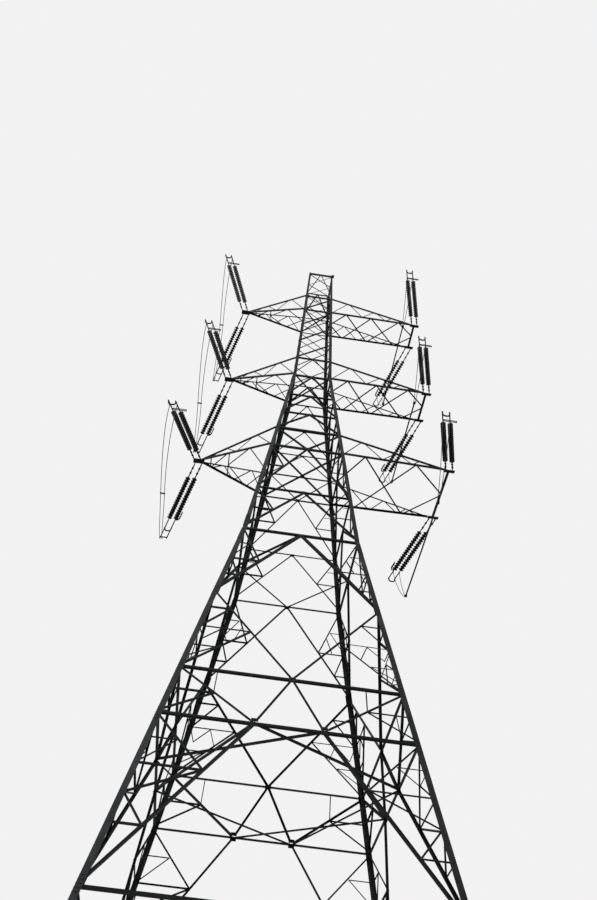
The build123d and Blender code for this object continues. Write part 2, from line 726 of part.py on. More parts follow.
def wire_end(x, y, z, s, at, radius):
    """Top of a jumper wire, just under its string at a distance along it."""
    point = string_start(x, y, z, s) + line_direction(s) * at
    lean = radians(DIP)
    return point - Vector(0, 0, radius / cos(lean) + WIRE_R * tan(lean) + SEAT_GAP)


def cross_end(x, y, z, s, shift):
    """Top of a jumper wire under the crosspiece of two long clamps, beside the left one."""
    point = string_start(x, y, z, s) + line_direction(s) * CROSS_AT
    return point + Vector(shift, 0, -CROSS_R - SEAT_GAP)


def loop(name):
    """Free loop under a left arm: two wires held together by a spacer."""
    tip_x, low, top = LEFT_ARMS[name]
    edge = TIP_PLATE[1] / 2
    z = low - TIP_PLATE[2] / 2
    bottom = low - LOOP_DROPS[name]
    back_x = -tip_x + LEFT_BACK_IN - TWIN / 2
    ends = [wire_end(back_x, edge, z, 1, CROSS_AT, CLAMP_R), cross_end(back_x, edge, z, 1, 40)]
    solid = Pos(-tip_x - LOOP_OUT, LOOP_SPACER_Y, bottom + 2) * Box(*LOOP_SPACER)
    for s, b in zip((-1, 1), ends):
        a = wire_end(-tip_x + s * TWIN / 2, -edge, z, -1, WIRE_AT, CLAMP_R)
        middle = Vector(-tip_x - LOOP_OUT + s * LOOP_TWIN / 2, 0, bottom)
        near = drop_curve(a, middle, LOOP_POWERS[0])
        far = drop_curve(b, middle, LOOP_POWERS[1])
        solid = solid + wire(near[:-1] + far[-1::-1], name)
    return solid


def rigid_jumper(name):
    """Straight bar under a right arm with the wires that lead to it from both sides."""
    reach, out, low, top = RIGHT_ARMS[name]
    bar_x, front, back = BARS[name]
    x = reach - RIGHT_STRINGS_IN
    edge = out + 12
    z = low - END_PLATE[2] / 2
    bottom = low - BAR_DROP
    bar = Rot(90, 0, 0) * Cylinder(BAR_R, back - front)
    solid = Pos(bar_x, (front + back) / 2, bottom) * bar
    for s, y, at, radius in ((-1, front, WIRE_AT, CLAMP_R), (1, back, BAR_WIRE_AT, LINK_R)):
        solid = solid + Pos(bar_x, y, bottom) * Box(*BAR_HEAD)
        for shift in (-0.5, 0.5):
            a = wire_end(x + shift * TWIN, s * edge, z, s, at, radius)
            goal = Vector(bar_x + shift * BAR_TWIN, y + s * 20, bottom)
            solid = solid + wire(drop_curve(a, goal, BAR_POWER), name)
    return solid


def export(shape, name):
    export_step(shape, "parts/" + name + ".step")
    box = shape.bounding_box()
    corners = [round(v) for v in (*box.min, *box.max)]
    print(name, len(shape.solids()), "solids", corners, round(shape.volume / 1e6, 2), "litres")


def main():
    corners = ("front_left", "front_right", "back_right", "back_left")
    sides = ("front", "right", "back", "left")
    lower = lower_leg()
    middle = leg_section(SHOULDER, ARM2_LOW, LEG_MIDDLE)
    base = base_bracing()
    waist = [waist_bracing(-1), waist_bracing(1)]
    for side in range(4):
        export(turned(lower, side), corners[side] + "_lower_leg")
        export(turned(middle, side), corners[side] + "_middle_leg")
        export(turned(base, side), sides[side] + "_base_bracing")
        export(turned(waist[side % 2], side), sides[side] + "_waist_bracing")
    export(belt_frame(), "belt_frame")
    export(shoulder_frame(), "shoulder_frame")
    export(middle_bracing(), "middle_bracing")
    export(tower_head(), "tower_head")
    for name, (tip_x, low, top) in LEFT_ARMS.items():
        export(trimmed(left_arm(name), 3, low, top), name + "_arm")
        edge = TIP_PLATE[1] / 2
        z = low - TIP_PLATE[2] / 2
        x = -tip_x + LEFT_BACK_IN
        export(string_set(-tip_x, -edge, z, -1, FRONT_STRING), name + "_front_strings")
        export(string_set(x, edge, z, 1, LONG_STRING, 1), name + "_back_strings")
        export(loop(name), name + "_jumper")
    for name, (reach, out, low, top) in RIGHT_ARMS.items():
        export(trimmed(right_arm(name), 1, low, top), name + "_arm")
        edge = out + 12
        z = low - END_PLATE[2] / 2
        x = reach - RIGHT_STRINGS_IN
        export(string_set(x, -edge, z, -1, FRONT_STRING), name + "_front_strings")
        export(string_set(x, edge, z, 1, BACK_STRING, -1), name + "_back_strings")
        export(rigid_jumper(name), name + "_jumper")


if __name__ == "__main__":
    main()
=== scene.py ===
# %% [markdown]
# A lattice transmission pylon: a square body of steel angles, three levels of cross
# arms, double strings of porcelain discs and the jumpers that lead the current past.
# The model is a 1:2 scale model, so each length here is half of the real tower's.
# The bars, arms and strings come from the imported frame. This script gives them their
# finishes and adds what a closer look shows: small bracing, plates, bolts and discs.

# %% Tools and the frame
from math import cos, pi, radians, sin, sqrt, tan

import bpy
import numpy as np
from mathutils import Matrix, Vector


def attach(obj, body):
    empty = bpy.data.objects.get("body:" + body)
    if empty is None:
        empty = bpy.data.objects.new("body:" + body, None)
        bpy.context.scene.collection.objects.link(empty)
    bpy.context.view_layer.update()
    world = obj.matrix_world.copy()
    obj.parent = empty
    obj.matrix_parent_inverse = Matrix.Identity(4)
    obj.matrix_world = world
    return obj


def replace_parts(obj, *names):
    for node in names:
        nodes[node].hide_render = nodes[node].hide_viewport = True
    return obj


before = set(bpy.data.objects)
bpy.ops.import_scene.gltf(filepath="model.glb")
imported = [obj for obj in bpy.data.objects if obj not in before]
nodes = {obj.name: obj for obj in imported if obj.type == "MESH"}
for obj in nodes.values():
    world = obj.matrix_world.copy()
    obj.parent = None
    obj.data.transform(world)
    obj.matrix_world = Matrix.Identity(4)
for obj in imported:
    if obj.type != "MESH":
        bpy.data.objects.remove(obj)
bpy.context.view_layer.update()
scene = bpy.context.scene

# %% [markdown]
# The photograph was taken from close to the tower's foot, looking steeply up. The
# camera's place and its three angles were worked out from the four corners of the
# body, which stand on a square, so they hold for the model at its own size.

# %% Camera
CAMERA_PLACE = Vector((-0.859, -12.263, 0.800))
CAMERA_YAW = radians(-3.3624)
CAMERA_PITCH = radians(48.7608)
CAMERA_ROLL = radians(5.5493)
PHOTO_HEIGHT = 900
FOCAL_PIXELS = 823.45


def aim_camera():
    """A camera that looks along the photograph's line of sight."""
    forward = Vector((-sin(CAMERA_YAW) * cos(CAMERA_PITCH), cos(CAMERA_YAW) * cos(CAMERA_PITCH),
                      sin(CAMERA_PITCH)))
    level = Vector((cos(CAMERA_YAW), sin(CAMERA_YAW), 0))
    upright = level.cross(forward)
    right = level * cos(CAMERA_ROLL) + upright * sin(CAMERA_ROLL)
    up = upright * cos(CAMERA_ROLL) - level * sin(CAMERA_ROLL)
    turn = Matrix((right, up, -forward)).transposed()
    bpy.ops.object.camera_add(location=CAMERA_PLACE)
    camera = bpy.context.object
    camera.rotation_euler = turn.to_euler()
    camera.data.sensor_width = 36
    camera.data.lens = camera.data.sensor_width * FOCAL_PIXELS / PHOTO_HEIGHT
    camera.data.clip_end = 500
    scene.camera = camera


aim_camera()
print("Camera with a", round(scene.camera.data.lens, 1), "mm lens")

# %% [markdown]
# A colour is picked as a hex value, as on a screen, but the renderer reckons with
# linear light. One function turns the one into the other.

# %% Colours
def linear(code):
    """Linear colour of a hex value such as 8A8D8F, by the curve of sRGB."""
    parts = [int(code[i:i + 2], 16) / 255 for i in (0, 2, 4)]
    return [c / 12.92 if c <= 0.04045 else ((c + 0.055) / 1.055) ** 2.4 for c in parts] + [1.0]


# %% [markdown]
# A material is a tree of small nodes. One function adds any of them with its settings
# and its links, so that each material reads as a short list of what is laid over what.

# %% Adding a node
def add_node(tree, kind, settings=None, inputs=None, stops=()):
    """Adds a node. An input is a value, or the output socket that feeds it."""
    node = tree.nodes.new(kind)
    for name, value in (settings or {}).items():
        setattr(node, name, value)
    for i, (position, code) in enumerate(stops):
        element = node.color_ramp.elements[i] if i < 2 else node.color_ramp.elements.new(position)
        element.position, element.color = position, linear(code)
    for name, value in (inputs or {}).items():
        if isinstance(value, bpy.types.NodeSocket):
            tree.links.new(value, node.inputs[name])
        else:
            node.inputs[name].default_value = value
    return node


def new_material(name):
    """Empty material, with Object coordinates to draw patterns by."""
    material = bpy.data.materials.new(name)
    material.use_nodes = True
    tree = material.node_tree
    tree.nodes.clear()
    place = add_node(tree, "ShaderNodeTexCoord").outputs["Object"]
    return material, tree, place


def finish_material(material, tree, surface):
    """Leads the shader to the material's output."""
    add_node(tree, "ShaderNodeOutputMaterial", inputs={"Surface": surface})
    return material


# %% [markdown]
# The light of the photograph is a bright, overcast sky behind a dark tower. A pale
# world gives soft light from all round, at half strength so that steel keeps its dark
# grey, and one wide lamp lifts the sides that face the viewer. The background is white
# only for the camera and for reflections, so it adds no light to the object.

# %% Light and background
def make_world():
    """Even pale light, with a white sky for the camera and for reflections."""
    world = bpy.data.worlds.new("pale_sky")
    scene.world = world
    world.use_nodes = True
    tree = world.node_tree
    tree.nodes.clear()
    light = add_node(tree, "ShaderNodeBackground",
                     inputs={"Color": linear("E9EBEE"), "Strength": 0.5})
    shown = add_node(tree, "ShaderNodeBackground",
                     inputs={"Color": linear("F2F2F2"), "Strength": 1.0})
    path = add_node(tree, "ShaderNodeLightPath")
    either = add_node(tree, "ShaderNodeMath", {"operation": "MAXIMUM"},
                      {0: path.outputs["Is Camera Ray"], 1: path.outputs["Is Transmission Ray"]})
    any_of = add_node(tree, "ShaderNodeMath", {"operation": "MAXIMUM"},
                      {0: either.outputs[0], 1: path.outputs["Is Glossy Ray"]})
    mix = add_node(tree, "ShaderNodeMixShader",
                   inputs={0: any_of.outputs[0], 1: light.outputs[0], 2: shown.outputs[0]})
    add_node(tree, "ShaderNodeOutputWorld", inputs={"Surface": mix.outputs[0]})


# %% [markdown]
# A lamp with a wide angle throws soft shadows, like the brighter part of a grey sky.
# It stands high on the viewer's left, as the photograph's light does. Its height above
# the ground doesn't matter, because a sun lamp shines the same from everywhere.

# %% Lamp
def add_sun(name, azimuth, elevation, strength, softness):
    """Soft lamp that shines from a compass direction and a height, both in degrees."""
    bpy.ops.object.light_add(type="SUN", location=(0, 0, 30))
    lamp = bpy.context.object
    lamp.name = name
    lamp.rotation_euler = (radians(90 - elevation), 0, radians(azimuth))
    lamp.data.energy = strength
    lamp.data.angle = radians(softness)


scene.view_settings.view_transform = "Standard"
make_world()
add_sun("key_light", azimuth=-35, elevation=55, strength=1.5, softness=25)
print("A pale sky and one lamp")

# %% [markdown]
# The floor is only a stage and isn't part of the object. One wide plane is enough. Its
# pale colour is matt, so that it shows the tower's shadow and no reflection.

# %% Floor
FLOOR_SIZE = 160
bpy.ops.mesh.primitive_plane_add(size=FLOOR_SIZE, location=(0, 0, 0))
floor = bpy.context.object
floor.name = "studio_floor"
material, tree, _ = new_material("pale_floor")
matt = add_node(tree, "ShaderNodeBsdfPrincipled",
                inputs={"Base Color": linear("DEDEDC"), "Roughness": 0.9})
floor.data.materials.append(finish_material(material, tree, matt.outputs[0]))
print("Floor", FLOOR_SIZE, "m wide")

# %% [markdown]
# Steel angles are dipped in molten zinc. New zinc is bright, with crystals as large as
# a thumbnail. After decades outdoors it is dull dark grey, with large cloudy blotches,
# streaks where rain runs down, and brown stains where the zinc has gone. Each of these
# is a pattern of its own size, worked out from real millimetres: clouds of 600 mm,
# streaks of 60 mm, crystals of 12 mm and stains of 250 mm on the real tower. A grit of
# 8 mm gives the shallow bump of old zinc.

# %% Weathered steel
MODEL_SCALE = 0.5


def scale_for(real_mm):
    """Scale setting of a pattern whose features are so large on the real tower."""
    return 1000 / (real_mm * MODEL_SCALE)


def weathered_metal(name, dark, mid, light, rust, metallic):
    """Metal after decades outdoors: clouds, rain streaks, crystals and brown stains."""
    material, tree, place = new_material(name)
    clouds = add_node(tree, "ShaderNodeTexNoise",
                      inputs={"Vector": place, "Scale": scale_for(600), "Detail": 6.0})
    drawn_out = add_node(tree, "ShaderNodeMapping",
                         inputs={"Vector": place, "Scale": (1.0, 1.0, 0.08)})
    streaks = add_node(tree, "ShaderNodeTexNoise",
                       inputs={"Vector": drawn_out.outputs[0], "Scale": scale_for(60), "Detail": 3.0})
    crystals = add_node(tree, "ShaderNodeTexVoronoi",
                        inputs={"Vector": place, "Scale": scale_for(12)})
    stains = add_node(tree, "ShaderNodeTexNoise",
                      inputs={"Vector": place, "Scale": scale_for(250), "Detail": 8.0,
                              "Roughness": 0.7})
    grit = add_node(tree, "ShaderNodeTexNoise",
                    inputs={"Vector": place, "Scale": scale_for(8), "Detail": 4.0})
    body = add_node(tree, "ShaderNodeValToRGB", inputs={"Fac": clouds.outputs["Fac"]},
                    stops=[(0.3, dark), (0.52, mid), (0.74, light)])
    grain = add_node(tree, "ShaderNodeValToRGB", inputs={"Fac": crystals.outputs["Color"]},
                     stops=[(0.0, "C8C8C8"), (1.0, "FFFFFF")])
    grained = add_node(tree, "ShaderNodeMix", {"data_type": "RGBA", "blend_type": "MULTIPLY"},
                       {0: 0.55, 6: body.outputs["Color"], 7: grain.outputs["Color"]})
    wet = add_node(tree, "ShaderNodeMapRange",
                   inputs={"Value": streaks.outputs["Fac"], "From Min": 0.55, "From Max": 0.75,
                           "To Max": 0.5})
    streaked = add_node(tree, "ShaderNodeMix", {"data_type": "RGBA"},
                        {0: wet.outputs[0], 6: grained.outputs[2], 7: linear(dark)})
    brown = add_node(tree, "ShaderNodeMapRange",
                     inputs={"Value": stains.outputs["Fac"], "From Min": 0.66, "From Max": 0.78,
                             "To Max": rust})
    stained = add_node(tree, "ShaderNodeMix", {"data_type": "RGBA"},
                       {0: brown.outputs[0], 6: streaked.outputs[2], 7: linear("4A382C")})
    rough = add_node(tree, "ShaderNodeMapRange",
                     inputs={"Value": clouds.outputs["Fac"], "From Min": 0.3, "From Max": 0.7,
                             "To Min": 0.5, "To Max": 0.68})
    bump = add_node(tree, "ShaderNodeBump",
                    inputs={"Strength": 0.25, "Distance": 0.0006, "Height": grit.outputs["Fac"]})
    steel = add_node(tree, "ShaderNodeBsdfPrincipled",
                     inputs={"Base Color": stained.outputs[2], "Metallic": metallic,
                             "Roughness": rough.outputs[0], "Normal": bump.outputs["Normal"]})
    return finish_material(material, tree, steel.outputs[0])


# %% [markdown]
# The same weathered zinc is used four times. The legs' broad flanges catch the most sky and look
# lightest. The bars are seen from below, against the light, so their zinc is painted darker, nearly
# black, as painted shade. Forged fittings are as dark, and the younger bolts are a little paler.

# %% Four kinds of steel
tower_steel = weathered_metal("weathered_galvanised_steel", "1D1F21", "292B2D", "3C3F41",
                              rust=0.5, metallic=0.9)
# Painted shade: the bracing is the legs' zinc made darker, for bars seen from below in shadow.
shaded_bracing_steel = weathered_metal("galvanised_bracing_painted_shade", "0E0F10", "161819", "222425",
                                rust=0.4, metallic=0.9)
fitting_steel = weathered_metal("galvanised_forged_fittings", "0E0F10", "161819", "232526",
                                rust=0.35, metallic=0.9)
bolt_steel = weathered_metal("galvanised_bolts", "2A2C2E", "3C3E40", "505356",
                             rust=0.6, metallic=0.85)
# The legs keep the steel's own colour. Every other piece gets the bracing's darker colour, which is
# painted shade.
for name, node in nodes.items():
    node.data.materials.clear()
    node.data.materials.append(tower_steel if name.endswith("_leg") else shaded_bracing_steel)
print("Steel on", len(nodes), "pieces")

# %% [markdown]
# The stiff bars under the right arms are aluminium tubes. Soot and oxide have made them
# nearly as dark as the steel, so they get the same pattern with hardly any brown.

# %% Oxidised aluminium tube
tube_metal = weathered_metal("oxidised_aluminium_tube", "17191A", "222426", "313436",
                             rust=0.1, metallic=0.9)
print("Tube material:", tube_metal.name)

# %% [markdown]
# The discs are porcelain with a brown glaze, a thin layer of glass that is glossy even
# when the tower is dull. A little dust from the air lies on it as a rougher film, in
# patches of 180 mm, and the glaze is darker where it has run thick, over 90 mm.

# %% Brown porcelain
def brown_porcelain():
    """Dark glaze with thicker and thinner parts under a film of dust."""
    material, tree, place = new_material("brown_glazed_porcelain")
    thick = add_node(tree, "ShaderNodeTexNoise",
                     inputs={"Vector": place, "Scale": scale_for(90), "Detail": 3.0})
    patches = add_node(tree, "ShaderNodeTexNoise",
                       inputs={"Vector": place, "Scale": scale_for(180), "Detail": 6.0})
    body = add_node(tree, "ShaderNodeValToRGB", inputs={"Fac": thick.outputs["Fac"]},
                    stops=[(0.35, "0B0706"), (0.65, "190F0B")])
    dust = add_node(tree, "ShaderNodeMapRange",
                    inputs={"Value": patches.outputs["Fac"], "From Min": 0.5, "From Max": 0.72,
                            "To Max": 0.3})
    dusty = add_node(tree, "ShaderNodeMix", {"data_type": "RGBA"},
                     {0: dust.outputs[0], 6: body.outputs["Color"], 7: linear("221D1A")})
    rough = add_node(tree, "ShaderNodeMapRange",
                     inputs={"Value": dust.outputs[0], "From Max": 0.3,
                             "To Min": 0.28, "To Max": 0.6})
    glaze = add_node(tree, "ShaderNodeBsdfPrincipled",
                     inputs={"Base Color": dusty.outputs[2], "Roughness": rough.outputs[0],
                             "IOR": 1.5, "Specular IOR Level": 0.12})
    return finish_material(material, tree, glaze.outputs[0])


porcelain = brown_porcelain()
print("Disc material:", porcelain.name)

# %% [markdown]
# The jumpers are aluminium strands twisted round a core. Old aluminium is dark grey and matt, and
# each strand shows as a thin slanting band. The bands are a wave pattern, which gives a shallow bump
# and a painted shade that darkens the grooves between the bands. Real strands are 9 mm apart, too
# fine to show in the picture, so the bands are drawn about twelve times as far apart. At a scale of
# 1, slanting waves repeat every 2 pi / 10 metres down a wire.

# %% Stranded aluminium
STRAND_MM, COARSER, WAVE_REPEAT = 9, 4 * pi, 2 * pi / 10


def stranded_aluminium():
    """Matt grey wire with slanting bands, darker in their grooves by painted shade."""
    material, tree, place = new_material("stranded_aluminium")
    band_scale = WAVE_REPEAT * scale_for(STRAND_MM * COARSER)
    strands = add_node(tree, "ShaderNodeTexWave", {"bands_direction": "DIAGONAL"},
                       {"Vector": place, "Scale": band_scale})
    clouds = add_node(tree, "ShaderNodeTexNoise",
                      inputs={"Vector": place, "Scale": scale_for(300), "Detail": 5.0})
    body = add_node(tree, "ShaderNodeValToRGB", inputs={"Fac": clouds.outputs["Fac"]},
                    stops=[(0.3, "35383A"), (0.7, "505355")])
    # Painted shade: the grooves between the bands are darker.
    groove_shade = add_node(tree, "ShaderNodeValToRGB", inputs={"Fac": strands.outputs["Fac"]},
                      stops=[(0.0, "8A8A8A"), (0.45, "FFFFFF")])
    grooved = add_node(tree, "ShaderNodeMix", {"data_type": "RGBA", "blend_type": "MULTIPLY"},
                       {0: 0.6, 6: body.outputs["Color"], 7: groove_shade.outputs["Color"]})
    bump = add_node(tree, "ShaderNodeBump",
                    inputs={"Strength": 0.5, "Distance": 0.001, "Height": strands.outputs["Fac"]})
    metal = add_node(tree, "ShaderNodeBsdfPrincipled",
                     inputs={"Base Color": grooved.outputs[2], "Metallic": 0.7, "Roughness": 0.55,
                             "Normal": bump.outputs["Normal"]})
    return finish_material(material, tree, metal.outputs[0])


aluminium = stranded_aluminium()
print("Materials:", [m.name for m in bpy.data.materials])

# %% [markdown]
# Bars, bolts and discs repeat hundreds of times. Each is modelled once, as a master,
# and then stamped: its points are turned, stretched and placed by one matrix for each
# copy, and all copies become one mesh. That is quick and keeps the list of pieces short.
# A master starts with nothing else selected, or the next operator would change that too.

# %% Starting with nothing selected
def deselect():
    """Leaves edit mode and deselects every object."""
    if bpy.context.object and bpy.context.object.mode != "OBJECT":
        bpy.ops.object.mode_set(mode="OBJECT")
    bpy.ops.object.select_all(action="DESELECT")


# %% [markdown]
# An operator acts on what is selected. In the window one clicks on a face. In a script
# the face is found by where its middle lies.

# %% Selecting by place
def select_where(test, kind):
    """In edit mode, selects the edges or faces whose middle passes a test."""
    bpy.ops.mesh.select_all(action="DESELECT")
    bpy.ops.mesh.select_mode(type=kind)
    bpy.ops.object.mode_set(mode="OBJECT")
    mesh = bpy.context.object.data
    for item in mesh.edges if kind == "EDGE" else mesh.polygons:
        corners = [mesh.vertices[i].co for i in item.vertices]
        item.select = test(sum(corners, Vector()) / len(corners))
    bpy.ops.object.mode_set(mode="EDIT")


# %% [markdown]
# A finished master is kept as a mesh without an object. Its doubles are merged and its
# faces are turned outwards, because an extrude can leave either behind.

# %% From edit mode to a master
MERGE_WITHIN = 0.00001


def take_mesh(name):
    """Leaves edit mode and returns the active object's mesh, with the object removed."""
    bpy.ops.mesh.select_all(action="SELECT")
    bpy.ops.mesh.remove_doubles(threshold=MERGE_WITHIN)
    bpy.ops.mesh.normals_make_consistent(inside=False)
    bpy.ops.object.mode_set(mode="OBJECT")
    made = bpy.context.object
    mesh = made.data
    mesh.name = name
    bpy.data.objects.remove(made)
    return mesh


# %% [markdown]
# Every finished piece is one mesh with its place in its own points, so its object sits
# at the origin. The tower has no moving part, so each piece rides on the one body.

# %% From points to a piece
def new_piece(name, corners, faces, smooth, material):
    """Object of a mesh with these corners and faces, on the root body."""
    mesh = bpy.data.meshes.new(name)
    mesh.from_pydata(corners, [], faces)
    mesh.polygons.foreach_set("use_smooth", smooth)
    mesh.materials.append(material)
    piece = bpy.data.objects.new(name, mesh)
    scene.collection.objects.link(piece)
    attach(piece, "root")
    return piece


# %% [markdown]
# A stamp multiplies the master's corners by each matrix, all at once, and joins the
# copies into one mesh with a plain list of faces.

# %% Stamping
def stamp(name, master, places, material):
    """One piece made of a copy of the master mesh for each matrix."""
    corners = np.array([v.co[:] for v in master.vertices])
    turns = np.array([[row[:] for row in m] for m in places])
    points = np.einsum("nij,kj->nki", turns[:, :3, :3], corners) + turns[:, None, :3, 3]
    outlines = [tuple(p.vertices) for p in master.polygons]
    faces = [tuple(i + n * len(corners) for i in outline)
             for n in range(len(places)) for outline in outlines]
    smooth = [p.use_smooth for p in master.polygons] * len(places)
    print(name, len(places), "copies,", len(faces), "faces")
    return new_piece(name, points.reshape(-1, 3).tolist(), faces, smooth, material)


# %% [markdown]
# A steel angle is rolled with two flanges. The master is one metre long: a plane is cut
# into a strip as thick as a flange, the strip is pulled out into the second flange, and
# the L is then pulled up into a bar. Its back corner lies on the axis.

# %% Angle master
TINY = 0.000001


def angle_master(width, thick):
    """Steel angle, one metre along Z, with flanges along X and Y."""
    deselect()
    bpy.ops.mesh.primitive_plane_add(size=1, location=(0.5, 0.5, 0))
    bpy.ops.object.transform_apply(location=True)
    bpy.ops.object.mode_set(mode="EDIT")
    bpy.ops.transform.resize(value=(width, thick, 1), center_override=(0, 0, 0))
    bpy.ops.mesh.bisect(plane_co=(thick, 0, 0), plane_no=(1, 0, 0))
    select_where(lambda c: abs(c.y - thick) < TINY and c.x < thick * 0.75, "EDGE")
    bpy.ops.mesh.extrude_edges_move(TRANSFORM_OT_translate={"value": (0, width - thick, 0)})
    bpy.ops.mesh.select_mode(type="FACE")
    bpy.ops.mesh.select_all(action="SELECT")
    bpy.ops.mesh.extrude_region_move(TRANSFORM_OT_translate={"value": (0, 0, 1)})
    return take_mesh("angle_master")


# %% [markdown]
# Two sizes are enough: lacing bars of 52 mm and finer ones of 32 mm on the real tower.
# Each size is a flange's width and its thickness, on the model.

# %% Two sizes of small bar
LACING_BAR = (0.026, 0.003)
FINE_BAR = (0.016, 0.002)
lacing_master = angle_master(*LACING_BAR)
fine_master = angle_master(*FINE_BAR)
print("Angle master:", len(lacing_master.polygons), "faces")

# %% [markdown]
# The body is square and leans inwards, with three straight runs between its bends. A
# point on a face is given by its share of the half width and its height, so one list of
# bars serves all four faces and both halves of each.

# %% Places on the faces
BENDS = [(0.0, 3.060), (11.251, 1.088), (17.058, 0.468), (22.306, 0.341)]
KNEE, BELT, COLLAR, WAIST = 4.370, 6.874, 7.744, 9.465
SHOULDER, CHEST = 11.251, 12.502
ARM1_LOW, ARM1_TOP, NECK1, NECK2 = 13.993, 14.686, 15.345, 16.132
ARM2_LOW, ARM2_TOP, CROSS1, CROSS2 = 17.058, 17.800, 18.594, 19.390
ARM3_LOW, ARM3_TOP, PEAK = 20.185, 20.950, 22.280
BELT_SHARE = 0.266
CROWN = SHOULDER - 0.022
print("Half width at the shoulder", dict(BENDS)[SHOULDER], "m")

# %% [markdown]
# Between two bends the half width falls evenly, so the height alone gives it. The face
# leans inwards, so a depth is measured along its own normal. The lean is read from two
# heights a little apart.

# %% Points and directions on a face
NEARBY = 0.02


def half_width(z):
    """Half the body's width at a height."""
    for (low, wide), (high, narrow) in zip(BENDS, BENDS[1:]):
        if z <= high:
            return wide + (narrow - wide) * (z - low) / (high - low)
    return BENDS[-1][1]


def face_normal(z):
    """Outward normal of the front face near a height."""
    slope = (half_width(z - NEARBY) - half_width(z + NEARBY)) / (2 * NEARBY)
    return Vector((0, -1, slope)).normalized()


def face_point(share, z, depth):
    """Point of the front face, sunk by a depth along the face's normal."""
    w = half_width(z)
    return Vector((share * w, -w, z)) - face_normal(z) * depth


def faces_of(points):
    """The same points on the front, right, back and left faces."""
    for side in range(4):
        turn = Matrix.Rotation(radians(90 * side), 3, "Z")
        yield [turn @ p for p in points]


# %% [markdown]
# A bar is laid by a matrix whose Z runs from one end to the other. Its length is the
# Z column's length, so the one metre master comes out as long as the gap.

# %% Laying a bar between two points
def bar_place(p, q, inward, width):
    """Matrix that lays an angle from p to q, its first flange centred on the line."""
    axis = (q - p).normalized()
    side = inward.cross(axis).normalized()
    inward = axis.cross(side)
    place = Matrix((side, inward, q - p)).transposed().to_4x4()
    place.translation = p - side * (width / 2)
    return place


# %% [markdown]
# Long braces and legs would buckle between their joints, so the real tower ties them
# together with small angles. The triangles between leg and brace hold zigzags: a level
# bar at each joint and a slanting one to the next. They lie flat against the inside of
# the braces. Those below the lowest horizontal follow the same pattern. To place them,
# the script has to know where the long braces run: the lowest ones start above the foot
# plates, and those over the shoulder start a little above it.

# %% Where the long braces run
BRACE_FOOT, ABOVE_SHOULDER = 0.12, 0.025
# Each run: from a height to a height, and the braces' share of the width at either end.
BRACE_RUNS = [
    (BRACE_FOOT, KNEE, 1, 0), (KNEE, BELT, 1, BELT_SHARE), (BELT, COLLAR, BELT_SHARE, 1),
    (COLLAR, WAIST, 0, 1), (WAIST, CROWN, 1, 0), (SHOULDER + ABOVE_SHOULDER, CHEST, 1, 0),
    (CHEST, ARM1_LOW, 1, 0),
]


def brace_share(z):
    """Share at which the long braces of the body stand at a height."""
    for low, high, start, end in BRACE_RUNS:
        if low <= z <= high:
            x_low, x_high = start * half_width(low), end * half_width(high)
            return (x_low + (x_high - x_low) * (z - low) / (high - low)) / half_width(z)
    return 0.0


# %% [markdown]
# The heights below are those of the joints that the photograph shows, and the same
# pattern below its frame.

# %% Lists of the small bars
# Each bar: height on the brace, then height on the leg.
LACING = [
    (1.20, 1.20), (1.20, 2.25), (2.25, 2.25), (2.25, KNEE - 0.06), (3.30, 3.30),
    (5.18, 5.18), (5.18, 5.60), (6.04, 5.60), (6.04, 6.04), (6.04, BELT - 0.05),
    (7.32, 7.32), (7.32, BELT + 0.06),
    (8.61, COLLAR + 0.05), (9.06, 8.61), (9.06, 9.06),
    (10.34, 10.34), (10.34, SHOULDER - 0.08), (9.91, 10.34), (9.91, 9.91),
    (11.86, 11.86), (11.86, CHEST - 0.05), (13.28, 13.28), (13.28, ARM1_LOW - 0.06),
]
# Finer bars, from share and height to share and height.
FINE = [
    (0.654, 3.30, 1.0, 2.80), (0.654, 3.30, 0.70, KNEE - 0.03),
    (0.775, 6.45, 1.0, 6.45), (0.775, 6.45, 1.0, 6.06),
    (0.63, 7.33, 0.65, COLLAR - 0.02),
    (0.455, 8.61, 1.0, 8.61), (0.74, 8.60, 0.655, 8.33), (0.74, 8.60, 0.89, 8.35),
    (0.89, 8.35, 1.0, 8.58),
    (0.74, 8.20, 1.0, 8.20), (0.74, 8.20, 1.0, 7.96),
    (0.78, 10.36, 0.71, 10.64), (0.78, 10.78, 1.0, 10.78), (0.78, 10.78, 1.0, 10.42),
    (0.79, 12.18, 1.0, 12.18), (0.75, 13.60, 1.0, 13.60),
    (-1.0, 21.03, 1.0, 21.57), (-1.0, 21.59, 1.0, 22.17),
]
print(len(LACING), "lacing bars and", len(FINE), "finer ones on each half face")

# %% [markdown]
# A bar that ends on a leg stops inside the leg's flange. Each bar of the list is laid
# twice on each face, mirrored, and turned to the other three. All lie as deep as the
# inside of the long braces.

# %% Laying the small bars
LEG_EDGE, BAR_DEPTH = 0.054, 0.0121


def held_inside(share, z):
    """The share, stopped just inside the leg's own flange."""
    limit = 1 - LEG_EDGE / half_width(z)
    return max(-limit, min(limit, share))


def lay_bars(bars, width):
    """Matrices of the bars, mirrored on all four faces."""
    places = []
    for share_a, z_a, share_b, z_b in bars:
        for s in (-1, 1):
            ends = [face_point(s * held_inside(share, z), z, BAR_DEPTH)
                    for share, z in ((share_a, z_a), (share_b, z_b))]
            inward = -face_normal((z_a + z_b) / 2)
            for p, q, n in faces_of(ends + [inward]):
                places.append(bar_place(p, q, n, width))
    return places


# %% [markdown]
# The lacing runs from the long braces to the legs, and the finer bars run as listed.

# %% Both kinds of small bar
lacing_bars = [(brace_share(zb), zb, 1.0, zl) for zb, zl in LACING]
places = lay_bars(lacing_bars, LACING_BAR[0])
lengths = [place.to_scale().z for place in places]
print("Small bars from", round(min(lengths), 2), "to", round(max(lengths), 2), "m")
stamp("small_bracing", lacing_master, places, shaded_bracing_steel)
stamp("finest_bracing", fine_master, lay_bars(FINE, FINE_BAR[0]), shaded_bracing_steel)

